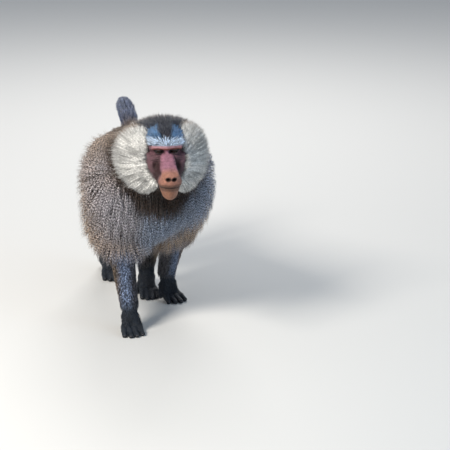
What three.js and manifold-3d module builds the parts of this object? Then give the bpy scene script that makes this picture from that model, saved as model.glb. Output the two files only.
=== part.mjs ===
// A male hamadryas baboon, life size, walking towards the viewer with its right hand forward.
// Millimetres, +Z up. The animal looks along -Y and its left side is +X.
import * as THREE from "three";
import { mergeVertices } from "three/addons/utils/BufferGeometryUtils.js";
import { ConvexGeometry } from "three/addons/geometries/ConvexGeometry.js";
import Module from "manifold-3d";

const wasm = await Module();
wasm.setup();

// Driving dimensions of the body
const GAP = 0.3;
const SHOULDER_Z = 470;
const HIP_X = 62;
const HIP_Y = 262;
const HIP_Z = 415;
const WRIST_Z = 90;
const ANKLE_Z = 80;
const NASION = [-1, -380, 613];
const HEAD_YAW = THREE.MathUtils.degToRad(5);
const HEAD_PITCH = THREE.MathUtils.degToRad(-2);
const EYE = [22, -11, -4];
const EYE_RADIUS = 11.5;
const FLOOR_FLAT = 1.2;

// Depth of the coat over the skin
const SHORT_COAT = 9;
const LIMB_COAT = 7;
const CAPE_DEPTH_TOP = 34;
const CAPE_DEPTH_SIDE = 72;
const CORE_SHARE = 0.45;

// Where each limb bends, as [x, y, z]; the sides differ because the animal is walking
const ARMS = {
  right: {
    side: -1,
    shoulder: [-99, -140, SHOULDER_Z],
    elbow: [-102, -118, 292],
    wrist: [-90, -222, WRIST_Z],
    turn: 0,
  },
  left: {
    side: 1,
    shoulder: [85, -140, SHOULDER_Z],
    elbow: [98, -62, 290],
    wrist: [88, 66, WRIST_Z],
    turn: 16,
  },
};
const LEGS = {
  right: {
    side: -1,
    hip: [-HIP_X, HIP_Y, HIP_Z],
    knee: [-70, 258, 232],
    ankle: [-40, 392, ANKLE_Z],
    turn: -4,
  },
  left: {
    side: 1,
    hip: [HIP_X, HIP_Y, HIP_Z],
    knee: [84, 114, 284],
    ankle: [45, 180, ANKLE_Z],
    turn: -8,
  },
};
const TAIL_RADII = [25, 22, 19, 17, 15, 13, 12, 12, 14];
const TAIL_COAT = 7;
const TAIL_PATH = [
  [36, 300, 466],
  [25, 345, 512],
  [24, 385, 543],
  [22, 415, 554],
  [34, 445, 536],
  [50, 464, 490],
  [56, 468, 410],
  [58, 462, 325],
  [56, 450, 250],
];

// Small helpers
const smooth = (a, b, v) => THREE.MathUtils.smoothstep(v, Math.min(a, b), Math.max(a, b));
const ramp = (a, b, v) => (a < b ? smooth(a, b, v) : 1 - smooth(a, b, v));
const mix = THREE.MathUtils.lerp;
const vec = (p) => new THREE.Vector3(...p);

function softMin(a, b, k) {
  const h = Math.max(k - Math.abs(a - b), 0) / k;
  return Math.min(a, b) - (h * h * k) / 4;
}

function softCut(a, b, k) {
  return -softMin(-a, b, k);
}

// Forms of flesh and bone: each gives the distance to its surface, with a reach for quick rejection
function limb(a, b, ra, rb, k = 20) {
  const d = [b[0] - a[0], b[1] - a[1], b[2] - a[2]];
  const ll = d[0] * d[0] + d[1] * d[1] + d[2] * d[2];
  const distance = (x, y, z) => {
    const px = x - a[0];
    const py = y - a[1];
    const pz = z - a[2];
    const t = Math.min(1, Math.max(0, (px * d[0] + py * d[1] + pz * d[2]) / ll));
    return Math.hypot(px - t * d[0], py - t * d[1], pz - t * d[2]) - (ra + t * (rb - ra));
  };
  const centre = a.map((v, i) => (v + b[i]) / 2);
  return { distance, centre, reach: Math.sqrt(ll) / 2 + Math.max(ra, rb), k };
}

function oval(c, r, k = 20) {
  const distance = (x, y, z) => {
    const qx = (x - c[0]) / r[0];
    const qy = (y - c[1]) / r[1];
    const qz = (z - c[2]) / r[2];
    const k0 = Math.hypot(qx, qy, qz);
    const k1 = Math.hypot(qx / r[0], qy / r[1], qz / r[2]);
    return k1 > 0 ? (k0 * (k0 - 1)) / k1 : -Math.min(...r);
  };
  return { distance, centre: c, reach: Math.max(...r), k };
}

function joined(forms, x, y, z, start = 1e3) {
  let d = start;
  for (const form of forms) {
    const [cx, cy, cz] = form.centre;
    const far = form.reach + Math.max(d, 0) + form.k;
    const dd = (x - cx) ** 2 + (y - cy) ** 2 + (z - cz) ** 2;
    if (dd < far * far) d = softMin(d, form.distance(x, y, z), form.k);
  }
  return d;
}

// The head's own frame: x to the animal's left, y forward, z up, from the root of the nose
const headForward = [
  -Math.sin(HEAD_YAW) * Math.cos(HEAD_PITCH),
  -Math.cos(HEAD_YAW) * Math.cos(HEAD_PITCH),
  -Math.sin(HEAD_PITCH),
];
const headLeft = [Math.cos(HEAD_YAW), -Math.sin(HEAD_YAW), 0];
const headUp = vec(headForward).cross(vec(headLeft)).toArray();
const dot = (a, b) => a[0] * b[0] + a[1] * b[1] + a[2] * b[2];

function toHead(x, y, z) {
  const q = [x - NASION[0], y - NASION[1], z - NASION[2]];
  return [dot(q, headLeft), dot(q, headForward), dot(q, headUp)];
}

function fromHead([x, y, z]) {
  return NASION.map((v, i) => v + x * headLeft[i] + y * headForward[i] + z * headUp[i]);
}

// Head, in its own frame and on one side, because it is symmetric
const HEAD_FORMS = [
  oval([0, -60, 12], [55, 64, 44], 20),
  oval([0, -84, -14], [58, 46, 50], 20),
  limb([0, 4, 12], [40, -7, 10], 9, 9.5, 6),
  oval([0, -28, 8], [44, 32, 22], 14),
  limb([27, -7, -25], [52, -32, -29], 9, 13, 12),
  limb([52, -32, -29], [58, -78, -22], 13, 14, 12),
  limb([0, -16, -52], [0, 76, -78], 34, 27, 12),
  limb([12, 3, -16], [16, 92, -57], 9.5, 10.5, 8),
  limb([0, 0, -17], [0, 92, -59], 13, 14, 8),
  oval([0, 100, -60], [21, 16, 12], 8),
  oval([0, 84, -79], [32, 28, 20], 9),
  oval([23, 64, -76], [12, 26, 20], 10),
  limb([0, -10, -90], [0, 66, -106], 31, 25, 10),
  oval([0, 76, -98], [26, 25, 12], 8),
  oval([0, 74, -112], [17, 20, 20], 12),
  oval([40, -40, -68], [22, 42, 38], 18),
  limb([0, -40, -84], [0, -112, -50], 38, 58, 24),
];
const SOCKET = oval([24, 3, -4], [18, 12, 10], 6);
const LID = oval(EYE, [14.2, 14.2, 14.2], 3);
const SLIT = oval([22, 5, -4.5], [11.5, 14, 2.5], 1);
const FOSSA = oval([34, 32, -44], [9, 40, 15], 10);
const NOSTRIL = oval([8.6, 112, -63], [6.6, 10, 5], 2);
const MOUTH_START = 12;
const MOUTH_DEPTH = 3.5;
const MOUTH_HALF = 1.5;

function mouthHeight(forward) {
  return -90 + 5 * ramp(80, 20, forward);
}

function headField(x, y, z) {
  const [hx, f, h] = toHead(x, y, z);
  const side = Math.abs(hx);
  let d = joined(HEAD_FORMS, side, f, h);
  if (f < -30) return d;
  d = softCut(d, SOCKET.distance(side, f, h), SOCKET.k);
  d = softMin(d, LID.distance(side, f, h), LID.k);
  d = softCut(d, SLIT.distance(side, f, h), SLIT.k);
  d = softCut(d, FOSSA.distance(side, f, h), FOSSA.k);
  d = softCut(d, NOSTRIL.distance(side, f, h), NOSTRIL.k);
  const groove = Math.max(
    Math.abs(h - mouthHeight(f)) - MOUTH_HALF,
    -(d + MOUTH_DEPTH),
    MOUTH_START - f,
  );
  return softCut(d, groove, 2);
}

// Trunk and neck
const TRUNK_FORMS = [
  oval([-8, -50, 412], [107, 172, 122], 40),
  oval([0, -95, 478], [80, 110, 74], 40),
  limb([0, 60, 424], [0, 215, 432], 92, 84, 40),
  oval([0, 268, 426], [90, 92, 84], 40),
  limb([0, -150, 490], fromHead([0, -122, -42]), 84, 64, 40),
];

// Fingers and toes spread from the end of the palm or sole, turned about the wrist or ankle
function turned(origin, turn, side) {
  const a = THREE.MathUtils.degToRad(turn);
  const c = Math.cos(a);
  const s = Math.sin(a);
  return (across, forward, z) => {
    const x = side * across;
    const y = -forward;
    return [origin[0] + x * c - y * s, origin[1] + x * s + y * c, z];
  };
}

function handForms({ wrist, turn, side }) {
  const at = turned(wrist, turn, side);
  const forms = [
    limb(wrist, at(0, 12, 52), 21, 20, 10),
    limb(at(-9, 10, 52), at(-13, 26, 24), 17, 13, 8),
    limb(at(9, 10, 52), at(13, 26, 24), 17, 13, 8),
    limb(at(-20, 2, 46), at(-33, 22, 13), 9, 6.5, 5),
  ];
  for (const [i, length] of [68, 78, 80, 70].entries()) {
    const spread = i - 1.5;
    forms.push(limb(at(spread * 14, 24, 21), at(spread * 17, 48, 15), 9.5, 9, 5));
    forms.push(limb(at(spread * 17, 48, 15), at(spread * 19, length, 7.5), 9, 7.5, 3));
  }
  return forms;
}

function footForms({ ankle, turn, side }) {
  const at = turned(ankle, turn, side);
  const forms = [
    limb(ankle, at(0, -14, 30), 20, 22, 14),
    limb(at(0, -30, 24), at(-9, 64, 20), 22, 17, 12),
    limb(at(4, -20, 30), at(10, 70, 18), 21, 15, 12),
    limb(at(0, 4, 60), at(0, 62, 26), 20, 15, 14),
    limb(at(-14, 10, 22), at(-30, 46, 14), 14, 10, 8),
    limb(at(-30, 46, 14), at(-40, 72, 8), 10, 8, 4),
  ];
  for (const [i, length] of [128, 138, 134, 122].entries()) {
    const spread = i - 1.3;
    forms.push(limb(at(spread * 12, 66, 18), at(spread * 15, 98, 16), 10, 9, 5));
    forms.push(limb(at(spread * 15, 98, 16), at(spread * 16, length, 7.5), 9, 7.5, 3));
  }
  return forms;
}

function armForms(arm) {
  const { side, shoulder, elbow, wrist } = arm;
  const [ex, ey, ez] = elbow;
  const belly = elbow.map((v, i) => mix(v, wrist[i], 0.3));
  return [
    oval([shoulder[0], shoulder[1] + 5, shoulder[2] - 20], [46, 72, 92], 30),
    limb(shoulder, [ex, ey, ez + 10], 46, 35, 24),
    limb(elbow, belly, 34, 35, 16),
    limb(belly, wrist, 35, 23, 16),
    ...handForms(arm),
  ];
}

function legForms(leg) {
  const { hip, knee, ankle } = leg;
  const calf = knee.map((v, i) => mix(v, ankle[i], 0.35) + (i === 1 ? 10 : 0));
  return [
    limb(hip, knee, 60, 40, 24),
    limb(knee, calf, 38, 34, 16),
    limb(calf, ankle, 34, 19, 16),
    ...footForms(leg),
  ];
}

const UPPER_ARMS = Object.values(ARMS).map((arm) => armForms(arm).slice(0, 2));
const THIGHS = Object.values(LEGS).map((leg) => legForms(leg).slice(0, 1));

// The skin of the trunk and head with the given limbs, or of one limb alone
function skinField(limbs, withTrunk = true) {
  return (x, y, z) => {
    let core = 1e3;
    if (withTrunk) {
      core = joined(TRUNK_FORMS, x, y, z);
      if (y < -200 && z > 420) core = softMin(core, headField(x, y, z), 26);
    }
    let d = core;
    for (const forms of limbs) {
      const own = joined(forms, x, y, z);
      d = Math.min(d, withTrunk ? softMin(core, own, 34) : own);
    }
    return d;
  };
}

// How much of the long cape a point carries, and how deep the coat is there
function cape(x, y, z) {
  return ramp(150, 40, y) * ramp(215, 290, z) * ramp(-330, -262, y);
}

function capeDepth(x, y, z) {
  const lateral = Math.min(1, Math.abs(x) / 110);
  const below = ramp(430, 330, z);
  return mix(CAPE_DEPTH_TOP, CAPE_DEPTH_SIDE, Math.max(lateral * lateral, 0.6 * below));
}

function coatDepth(x, y, z) {
  const limbs = mix(1, LIMB_COAT, ramp(60, 110, z));
  const body = mix(limbs, SHORT_COAT, ramp(250, 360, z));
  const [hx, f, h] = toHead(x, y, z);
  const face = y < -200 && z > 420 ? faceBare(Math.abs(hx), f, h) : 0;
  const head = 8 + 8 * ramp(20, 50, h);
  const nearHead = y < -200 && z > 420 ? ramp(-120, -90, f) : 0;
  const plain = mix(mix(body, head, nearHead), 0, face);
  const long = cape(x, y, z) * (1 - nearHead);
  return mix(plain, CORE_SHARE * capeDepth(x, y, z), long);
}

// 1 on the bare face, 0 where hair grows
function faceBare(side, f, h) {
  const cheek = ramp(-42, -26, f) * ramp(62, 52, side);
  return cheek * ramp(34, 22, h);
}

function coatField(limbs, withTrunk = true) {
  const skin = skinField(limbs, withTrunk);
  return (x, y, z) => skin(x, y, z) - coatDepth(x, y, z);
}

// The pad of hair behind each cheek, which carries the whiskers' locks
const WHISKER_PAD = oval([70, -56, -46], [34, 24, 70], 14);
const headSkin = coatField([]);

function headCoatField(x, y, z) {
  const [hx, f, h] = toHead(x, y, z);
  return softMin(headSkin(x, y, z), WHISKER_PAD.distance(Math.abs(hx), f, h), WHISKER_PAD.k);
}

const TAIL_FORMS = TAIL_PATH.slice(1).map((p, i) =>
  limb(TAIL_PATH[i], p, TAIL_RADII[i], TAIL_RADII[i + 1], 10),
);
const tailField = (x, y, z) => joined(TAIL_FORMS, x, y, z) - TAIL_COAT;

function gradient(field, p, step = 1) {
  const g = new THREE.Vector3(
    field(p.x + step, p.y, p.z) - field(p.x - step, p.y, p.z),
    field(p.x, p.y + step, p.z) - field(p.x, p.y - step, p.z),
    field(p.x, p.y, p.z + step) - field(p.x, p.y, p.z - step),
  );
  return g.divideScalar(2 * step);
}

// The corners and edges of a grid cell, and which patterns of inside corners would pinch the surface
const CORNERS = [0, 1, 2, 3, 4, 5, 6, 7].map((c) => [c & 1, (c >> 1) & 1, c >> 2]);
const EDGES = CORNERS.flatMap((_, a) => [1, 2, 4].filter((bit) => !(a & bit)).map((bit) => [a, a | bit]));
const PINCHES = Array.from({ length: 256 }, (_, mask) => {
  const inside = (c) => (mask >> c) & 1;
  const group = [0, 1, 2, 3, 4, 5, 6, 7];
  for (let n = 0; n < 8; n++)
    for (const [a, b] of EDGES)
      if (inside(a) === inside(b)) group[a] = group[b] = Math.min(group[a], group[b]);
  const crossed = [1, 2, 4].some((u) =>
    [1, 2, 4].some((v) =>
      [0, 1, 2, 3, 4, 5, 6, 7].some(
        (c) =>
          u !== v &&
          inside(c) === inside(c ^ u ^ v) &&
          inside(c ^ u) === inside(c ^ v) &&
          inside(c) !== inside(c ^ u),
      ),
    ),
  );
  return crossed || new Set(group).size > 2;
});

// A closed surface where the field is zero, inside a box, on a grid of the given cell
function surfaceOf(field, low, high, cell) {
  const n = low.map((v, i) => Math.ceil((high[i] - v) / cell) + 1);
  const index = (i, j, k) => i + n[0] * (j + n[1] * k);
  const values = new Float32Array(n[0] * n[1] * n[2]);
  for (let k = 0; k < n[2]; k++)
    for (let j = 0; j < n[1]; j++)
      for (let i = 0; i < n[0]; i++) {
        const edge = !i || !j || !k || i === n[0] - 1 || j === n[1] - 1 || k === n[2] - 1;
        values[index(i, j, k)] = edge
          ? cell
          : field(low[0] + i * cell, low[1] + j * cell, low[2] + k * cell);
      }
  for (let pass = 0, found = true; found && pass < 30; pass++) {
    found = false;
    for (let k = 0; k < n[2] - 1; k++)
      for (let j = 0; j < n[1] - 1; j++)
        for (let i = 0; i < n[0] - 1; i++) {
          const at = CORNERS.map(([a, b, c]) => index(i + a, j + b, k + c));
          if (!PINCHES[at.reduce((mask, v, c) => mask | ((values[v] < 0) << c), 0)]) continue;
          const least = at.reduce((a, b) => (Math.abs(values[b]) < Math.abs(values[a]) ? b : a));
          values[least] = values[least] < 0 ? 0.01 + pass * 0.1 : -0.01 - pass * 0.1;
          found = true;
        }
  }
  const cellVertex = new Int32Array(values.length).fill(-1);
  const points = [];
  for (let k = 0; k < n[2] - 1; k++)
    for (let j = 0; j < n[1] - 1; j++)
      for (let i = 0; i < n[0] - 1; i++) {
        const v = CORNERS.map(([a, b, c]) => values[index(i + a, j + b, k + c)]);
        let count = 0;
        const sum = [0, 0, 0];
        for (const [a, b] of EDGES) {
          if (v[a] < 0 === v[b] < 0) continue;
          const t = v[a] / (v[a] - v[b]);
          for (let m = 0; m < 3; m++) sum[m] += mix(CORNERS[a][m], CORNERS[b][m], t);
          count++;
        }
        if (!count) continue;
        cellVertex[index(i, j, k)] = points.length;
        points.push(
          new THREE.Vector3(
            low[0] + (i + sum[0] / count) * cell,
            low[1] + (j + sum[1] / count) * cell,
            low[2] + (k + sum[2] / count) * cell,
          ),
        );
      }
  const triangles = [];
  const quad = (a, b, c, d, flip) => {
    if (!flip) [b, d] = [d, b];
    const short = points[a].distanceTo(points[c]) < points[b].distanceTo(points[d]);
    if (short) triangles.push([a, b, c], [a, c, d]);
    else triangles.push([a, b, d], [b, c, d]);
  };
  for (let k = 0; k < n[2] - 1; k++)
    for (let j = 0; j < n[1] - 1; j++)
      for (let i = 0; i < n[0] - 1; i++) {
        const here = values[index(i, j, k)] < 0;
        const at = (a, b, c) => cellVertex[index(i - a, j - b, k - c)];
        if (here !== values[index(i + 1, j, k)] < 0)
          quad(at(0, 0, 0), at(0, 1, 0), at(0, 1, 1), at(0, 0, 1), here);
        if (here !== values[index(i, j + 1, k)] < 0)
          quad(at(0, 0, 0), at(0, 0, 1), at(1, 0, 1), at(1, 0, 0), here);
        if (here !== values[index(i, j, k + 1)] < 0)
          quad(at(0, 0, 0), at(1, 0, 0), at(1, 1, 0), at(0, 1, 0), here);
      }
  for (const p of points) {
    const inside = ["x", "y", "z"].every(
      (m, i) => p[m] > low[i] + 1.6 * cell && p[m] < high[i] - 1.6 * cell,
    );
    if (!inside) continue;
    const g = gradient(field, p, cell / 6);
    const d = field(p.x, p.y, p.z);
    const move = Math.max(-cell / 2, Math.min(cell / 2, d / Math.max(g.lengthSq(), 0.2)));
    p.addScaledVector(g, -move);
  }
  return { points, triangles };
}

// Collapses the edges whose loss matters least until the surface has the wanted number of triangles
function simplified({ points, triangles }, target, { limit = Infinity, evenness = 1e-4, least = 0 } = {}) {
  const faces = triangles.map((t) => [...t]);
  const around = points.map(() => new Set());
  faces.forEach((t, i) => t.forEach((v) => around[v].add(i)));
  const quadric = points.map(() => new Float64Array(10));
  const ab = new THREE.Vector3();
  const ac = new THREE.Vector3();
  const normalOf = (a, b, c) =>
    ab.subVectors(b, a).cross(ac.subVectors(c, a)).clone();
  for (const [a, b, c] of faces) {
    const n = normalOf(points[a], points[b], points[c]);
    const area = n.length();
    if (area < 1e-7) continue;
    n.divideScalar(area);
    const weight = Math.max(area, least);
    const d = -n.dot(points[a]);
    const q = [n.x, n.y, n.z, d];
    for (const v of [a, b, c])
      for (let i = 0, m = 0; i < 4; i++)
        for (let j = i; j < 4; j++, m++) quadric[v][m] += q[i] * q[j] * weight;
  }
  const errorAt = (q, p) =>
    q[0] * p.x * p.x + 2 * q[1] * p.x * p.y + 2 * q[2] * p.x * p.z + 2 * q[3] * p.x +
    q[4] * p.y * p.y + 2 * q[5] * p.y * p.z + 2 * q[6] * p.y +
    q[7] * p.z * p.z + 2 * q[8] * p.z + q[9];
  const bestPoint = (q, a, b) => {
    const m = new THREE.Matrix3().set(q[0], q[1], q[2], q[1], q[4], q[5], q[2], q[5], q[7]);
    const scale = q[0] + q[4] + q[7];
    const middle = a.clone().add(b).multiplyScalar(0.5);
    if (Math.abs(m.determinant()) > 1e-5 * scale ** 3) {
      const p = new THREE.Vector3(-q[3], -q[6], -q[8]).applyMatrix3(m.invert());
      if (p.distanceTo(middle) < 1.5 * a.distanceTo(b)) return p;
    }
    return [middle, a, b].reduce((x, y) => (errorAt(q, y) < errorAt(q, x) ? y : x)).clone();
  };
  const version = new Int32Array(points.length);
  const heap = [];
  const push = (entry) => {
    heap.push(entry);
    for (let i = heap.length - 1; i > 0; ) {
      const up = (i - 1) >> 1;
      if (heap[up].cost <= heap[i].cost) break;
      [heap[up], heap[i]] = [heap[i], heap[up]];
      i = up;
    }
  };
  const pop = () => {
    const top = heap[0];
    const last = heap.pop();
    if (heap.length) {
      heap[0] = last;
      for (let i = 0; ; ) {
        let low = i;
        for (const child of [2 * i + 1, 2 * i + 2])
          if (child < heap.length && heap[child].cost < heap[low].cost) low = child;
        if (low === i) break;
        [heap[low], heap[i]] = [heap[i], heap[low]];
        i = low;
      }
    }
    return top;
  };
  const offer = (a, b) => {
    const q = quadric[a].map((v, i) => v + quadric[b][i]);
    const p = bestPoint(q, points[a], points[b]);
    const length = points[a].distanceToSquared(points[b]);
    const cost = Math.max(0, errorAt(q, p)) + evenness * length * length;
    push({ cost, a, b, p, q, va: version[a], vb: version[b] });
  };
  const neighbours = (v) => {
    const found = new Set();
    for (const f of around[v]) for (const w of faces[f]) if (w !== v) found.add(w);
    return found;
  };
  const turnsOver = (v, other, p) => {
    for (const f of around[v]) {
      const t = faces[f];
      if (t.includes(other)) continue;
      const before = normalOf(...t.map((w) => points[w]));
      const after = normalOf(...t.map((w) => (w === v ? p : points[w])));
      const size = before.length() * after.length();
      if (after.length() < 1e-3 || before.dot(after) < 0.25 * size) return true;
    }
    return false;
  };
  points.forEach((_, v) => {
    for (const w of neighbours(v)) if (w > v) offer(v, w);
  });
  let left = faces.length;
  while (left > target && heap.length) {
    const { cost, a, b, p, q, va, vb } = pop();
    if (cost > limit) break;
    if (va !== version[a] || vb !== version[b] || !around[a].size || !around[b].size) continue;
    const na = neighbours(a);
    const shared = [...neighbours(b)].filter((v) => na.has(v));
    if (!na.has(b) || shared.length !== 2) continue;
    if (shared.some((v) => around[v].size <= 3)) continue;
    if (turnsOver(a, b, p) || turnsOver(b, a, p)) continue;
    for (const f of [...around[b]]) {
      const t = faces[f];
      if (t.includes(a)) {
        t.forEach((v) => around[v].delete(f));
        faces[f] = null;
        left--;
      } else {
        t[t.indexOf(b)] = a;
        around[a].add(f);
      }
    }
    around[b].clear();
    points[a].copy(p);
    quadric[a] = q;
    version[a]++;
    version[b]++;
    for (const w of neighbours(a)) offer(a, w);
  }
  return { points, triangles: faces.filter(Boolean) };
}

// Between three.js geometry and exact solids
function geometryOf({ points, triangles }) {
  return new THREE.BufferGeometry()
    .setAttribute("position", new THREE.Float32BufferAttribute(points.flatMap((p) => p.toArray()), 3))
    .setIndex(triangles.flat());
}

function solidOf(geometry) {
  const bare = geometry.clone();
  bare.deleteAttribute("normal");
  bare.deleteAttribute("uv");
  const merged = mergeVertices(bare, 1e-4);
  const vertProperties = merged.attributes.position.array;
  const build = (triVerts) =>
    new wasm.Manifold(new wasm.Mesh({ numProp: 3, vertProperties, triVerts }));
  const made = build(new Uint32Array(merged.index.array));
  return made.volume() < 0 ? build(new Uint32Array(merged.index.array).reverse()) : made;
}

function largest(solid) {
  const pieces = solid.decompose();
  return pieces.reduce((a, b) => (b.volume() > a.volume() ? b : a));
}

// The same solid without the slivers and needless corners that cutting leaves
const SLIVER_COST = 0.004;
function tidied(solid) {
  const { vertProperties, triVerts } = largest(solid).getMesh();
  const points = [];
  const triangles = [];
  for (let i = 0; i < vertProperties.length; i += 3)
    points.push(new THREE.Vector3(...vertProperties.subarray(i, i + 3)));
  for (let i = 0; i < triVerts.length; i += 3) triangles.push([...triVerts.subarray(i, i + 3)]);
  const made = simplified({ points, triangles }, 0, { limit: SLIVER_COST, evenness: 1e-9, least: 1 });
  for (const p of points) if (Math.abs(p.z - FLOOR_FLAT) < 0.1) p.z = FLOOR_FLAT;
  return made;
}

function meshOf(name, solid, look) {
  const shaped = geometryOf(tidied(solid)).toNonIndexed();
  shaped.computeVertexNormals();
  const mesh = new THREE.Mesh(shaped, LOOKS[look]);
  mesh.name = name;
  return mesh;
}

// All that lies on the outer side of a plane, as a very large box standing on it
const HUGE = 3000;
function beyond({ point, normal }, gap = 0) {
  const out = vec(normal).normalize();
  const turn = new THREE.Quaternion().setFromUnitVectors(new THREE.Vector3(0, 0, 1), out);
  const box = new THREE.BoxGeometry(HUGE, HUGE, HUGE)
    .translate(0, 0, HUGE / 2 + gap)
    .applyQuaternion(turn)
    .translate(...point);
  return solidOf(box);
}

function region(planes, gap) {
  return planes.map((plane) => beyond(plane, gap)).reduce((a, b) => a.intersect(b));
}

const flipped = ({ point, normal }) => ({ point, normal: normal.map((v) => -v) });

// The planes that part the body
function jointPlane(before, joint, after) {
  const down = vec(joint).sub(vec(before)).normalize();
  const on = vec(after).sub(vec(joint)).normalize();
  return { point: joint, normal: down.add(on).normalize().toArray() };
}

const HEAD_CUT = { point: fromHead([0, -116, 0]), normal: headForward };
const NECK_CUT = { point: [0, -165, 520], normal: [0, -0.75, 0.66] };
const WAIST_CUT = { point: [0, 84, 420], normal: [0, 1, 0] };
const RUMP_CUT = { point: [0, 185, 420], normal: [0, 1, 0.1] };
const ARM_BACK = { point: [0, 18, 420], normal: [0, -1, 0] };
const ARM_TOP = { point: [0, 0, 512], normal: [0, 0, -1] };
const THIGH_FRONT = { point: [0, 96, 345], normal: [0, 0.8, -0.6] };
const THIGH_TOP = { point: [0, 0, 476], normal: [0, 0, -1] };
const TAIL_CUTS = [
  { point: TAIL_PATH[1], normal: [0, 0.7, 0.7] },
  { point: TAIL_PATH[3], normal: [-0.3, 1, -0.1] },
  { point: TAIL_PATH[6], normal: [0, 0, -1] },
];
const armCut = (side) => ({ point: [side * 48, 0, 285], normal: [side * 0.948, 0, -0.318] });
const thighCut = (side) => ({ point: [side * 30, 0, 320], normal: [side * 0.94, 0, -0.34] });

function armPlanes({ side, shoulder, elbow, wrist }) {
  const bend = jointPlane(shoulder, elbow, wrist);
  return {
    upper: [armCut(side), ARM_BACK, ARM_TOP, flipped(bend)],
    lower: [bend, armCut(side), flipped({ point: wrist, normal: [0, 0, -1] })],
    end: [{ point: wrist, normal: [0, 0, -1] }],
  };
}

function legPlanes({ side, hip, knee, ankle }) {
  const bend = jointPlane(hip, knee, ankle);
  return {
    upper: [thighCut(side), THIGH_FRONT, THIGH_TOP, flipped(bend)],
    lower: [bend, thighCut(side), flipped({ point: ankle, normal: [0, 0, -1] })],
    end: [{ point: ankle, normal: [0, 0, -1] }],
  };
}

// Flat, tapered locks of long hair; each section has four corners and the tip is a point
function lockSections({ path, normals, width, thickness }, grow = 0) {
  const last = path.length - 1;
  const facing = normals[0].clone();
  const sections = [];
  for (let i = 0; i < last; i++) {
    const t = i / last;
    const along = path[i + 1].clone().sub(path[Math.max(i - 1, 0)]).normalize();
    facing.lerp(normals[i], 0.4).normalize();
    const across = along.clone().cross(facing).normalize();
    const outward = across.clone().cross(along).normalize();
    const shape = Math.sqrt(Math.min(1, 0.4 + 1.6 * t)) * Math.sqrt(1 - t ** 3);
    const half = (width / 2) * shape + grow;
    const thick = (thickness / 2) * (1 - 0.5 * t) + grow;
    const start = path[i].clone().addScaledVector(along, i ? 0 : -grow);
    sections.push([
      start.clone().addScaledVector(across, half),
      start.clone().addScaledVector(outward, thick),
      start.clone().addScaledVector(across, -half),
      start.clone().addScaledVector(outward, -thick),
    ]);
  }
  const end = path[last].clone().sub(path[last - 1]).normalize();
  sections.push([path[last].clone().addScaledVector(end, 3 * grow)]);
  return sections;
}

function lockSolid(lock) {
  const points = lockSections(lock).flat();
  const triangles = [[0, 1, 2], [0, 2, 3]];
  for (let a = 0; a < points.length - 1; a++) {
    const b = a % 4 === 3 ? a - 3 : a + 1;
    if (a >= points.length - 5) triangles.push([a, points.length - 1, b]);
    else triangles.push([a, a + 4, b + 4], [a, b + 4, b]);
  }
  return solidOf(geometryOf({ points, triangles }));
}

// The room a lock needs in a neighbour
function lockRoom(lock) {
  const sections = lockSections(lock, 2 * GAP);
  const lengths = sections.slice(1).map((section, i) => (
    solidOf(new ConvexGeometry([...sections[i], ...section]))
  ));
  return lengths.reduce((a, b) => a.add(b));
}

// A lock that starts sunk in the coat, rises over it and follows the lie of the hair
function lyingLock(start, lie, { length, width, thickness, sink, lift, stations }, field) {
  const path = [];
  const normals = [];
  const p = start.clone();
  const last = stations - 1;
  for (let i = 0; i <= last; i++) {
    const t = i / last;
    const height = mix(-sink, lift, Math.sin((Math.PI / 2) * t));
    for (let n = 0; n < 2; n++) {
      const g = gradient(field, p, 4);
      const short = height - field(p.x, p.y, p.z);
      p.addScaledVector(g, (short > 0 || i === 0 ? short : 0.5 * short) / Math.max(g.lengthSq(), 0.3));
    }
    const normal = gradient(field, p, 4).normalize();
    path.push(p.clone());
    normals.push(normal);
    const step = lie(p);
    step.addScaledVector(normal, -0.85 * step.dot(normal)).normalize();
    p.addScaledVector(step, length / last);
  }
  return { path, normals, width, thickness };
}

// A small repeatable source of variety for lengths and directions
let seed = 71;
function vary(amount) {
  seed = (seed * 16807) % 2147483647;
  return 1 + amount * ((2 * seed) / 2147483647 - 1);
}

// Cape: rings of locks about the line from the waist to the head, lying back and down
const CAPE_LINE = [
  [0, 84, 418],
  [0, 30, 420],
  [0, -26, 426],
  [0, -82, 438],
  [0, -134, 458],
  [0, -180, 490],
  [0, -222, 526],
  [0, -256, 556],
  [0, -284, 580],
];
const CAPE_LOCK = { length: 118, width: 68, thickness: 17, sink: 9, stations: 4 };
const CAPE_SPACING = 79;

function capeLie(p) {
  const front = ramp(-150, -215, p.y) * ramp(570, 510, p.z);
  const level = ramp(400, 520, p.z);
  const back = mix(mix(0.5, 1, level), 0, front);
  const down = mix(mix(1, 0.25, level), 1, front);
  return new THREE.Vector3(0.2 * Math.sign(p.x) * level, back, -down);
}

function ringRoots(centre, axis, spacing, field) {
  const forward = axis.clone().normalize();
  const side = new THREE.Vector3(1, 0, 0);
  const up = side.clone().cross(forward).normalize();
  const cast = (turn) => {
    const ray = up.clone().multiplyScalar(Math.cos(turn)).addScaledVector(side, Math.sin(turn));
    let far = 300;
    for (let n = 0; n < 80 && far > 20; n++) {
      const p = centre.clone().addScaledVector(ray, far);
      const d = field(p.x, p.y, p.z);
      if (d < 0.5) break;
      far -= Math.min(0.7 * d, 25);
    }
    return centre.clone().addScaledVector(ray, far);
  };
  const trial = Array.from({ length: 48 }, (_, i) => cast((2 * Math.PI * i) / 48));
  const lengths = trial.map((p, i) => p.distanceTo(trial[(i + 1) % 48]));
  const round = lengths.reduce((a, b) => a + b);
  return { cast, trial, lengths, round, count: Math.round(round / spacing) };
}

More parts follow.
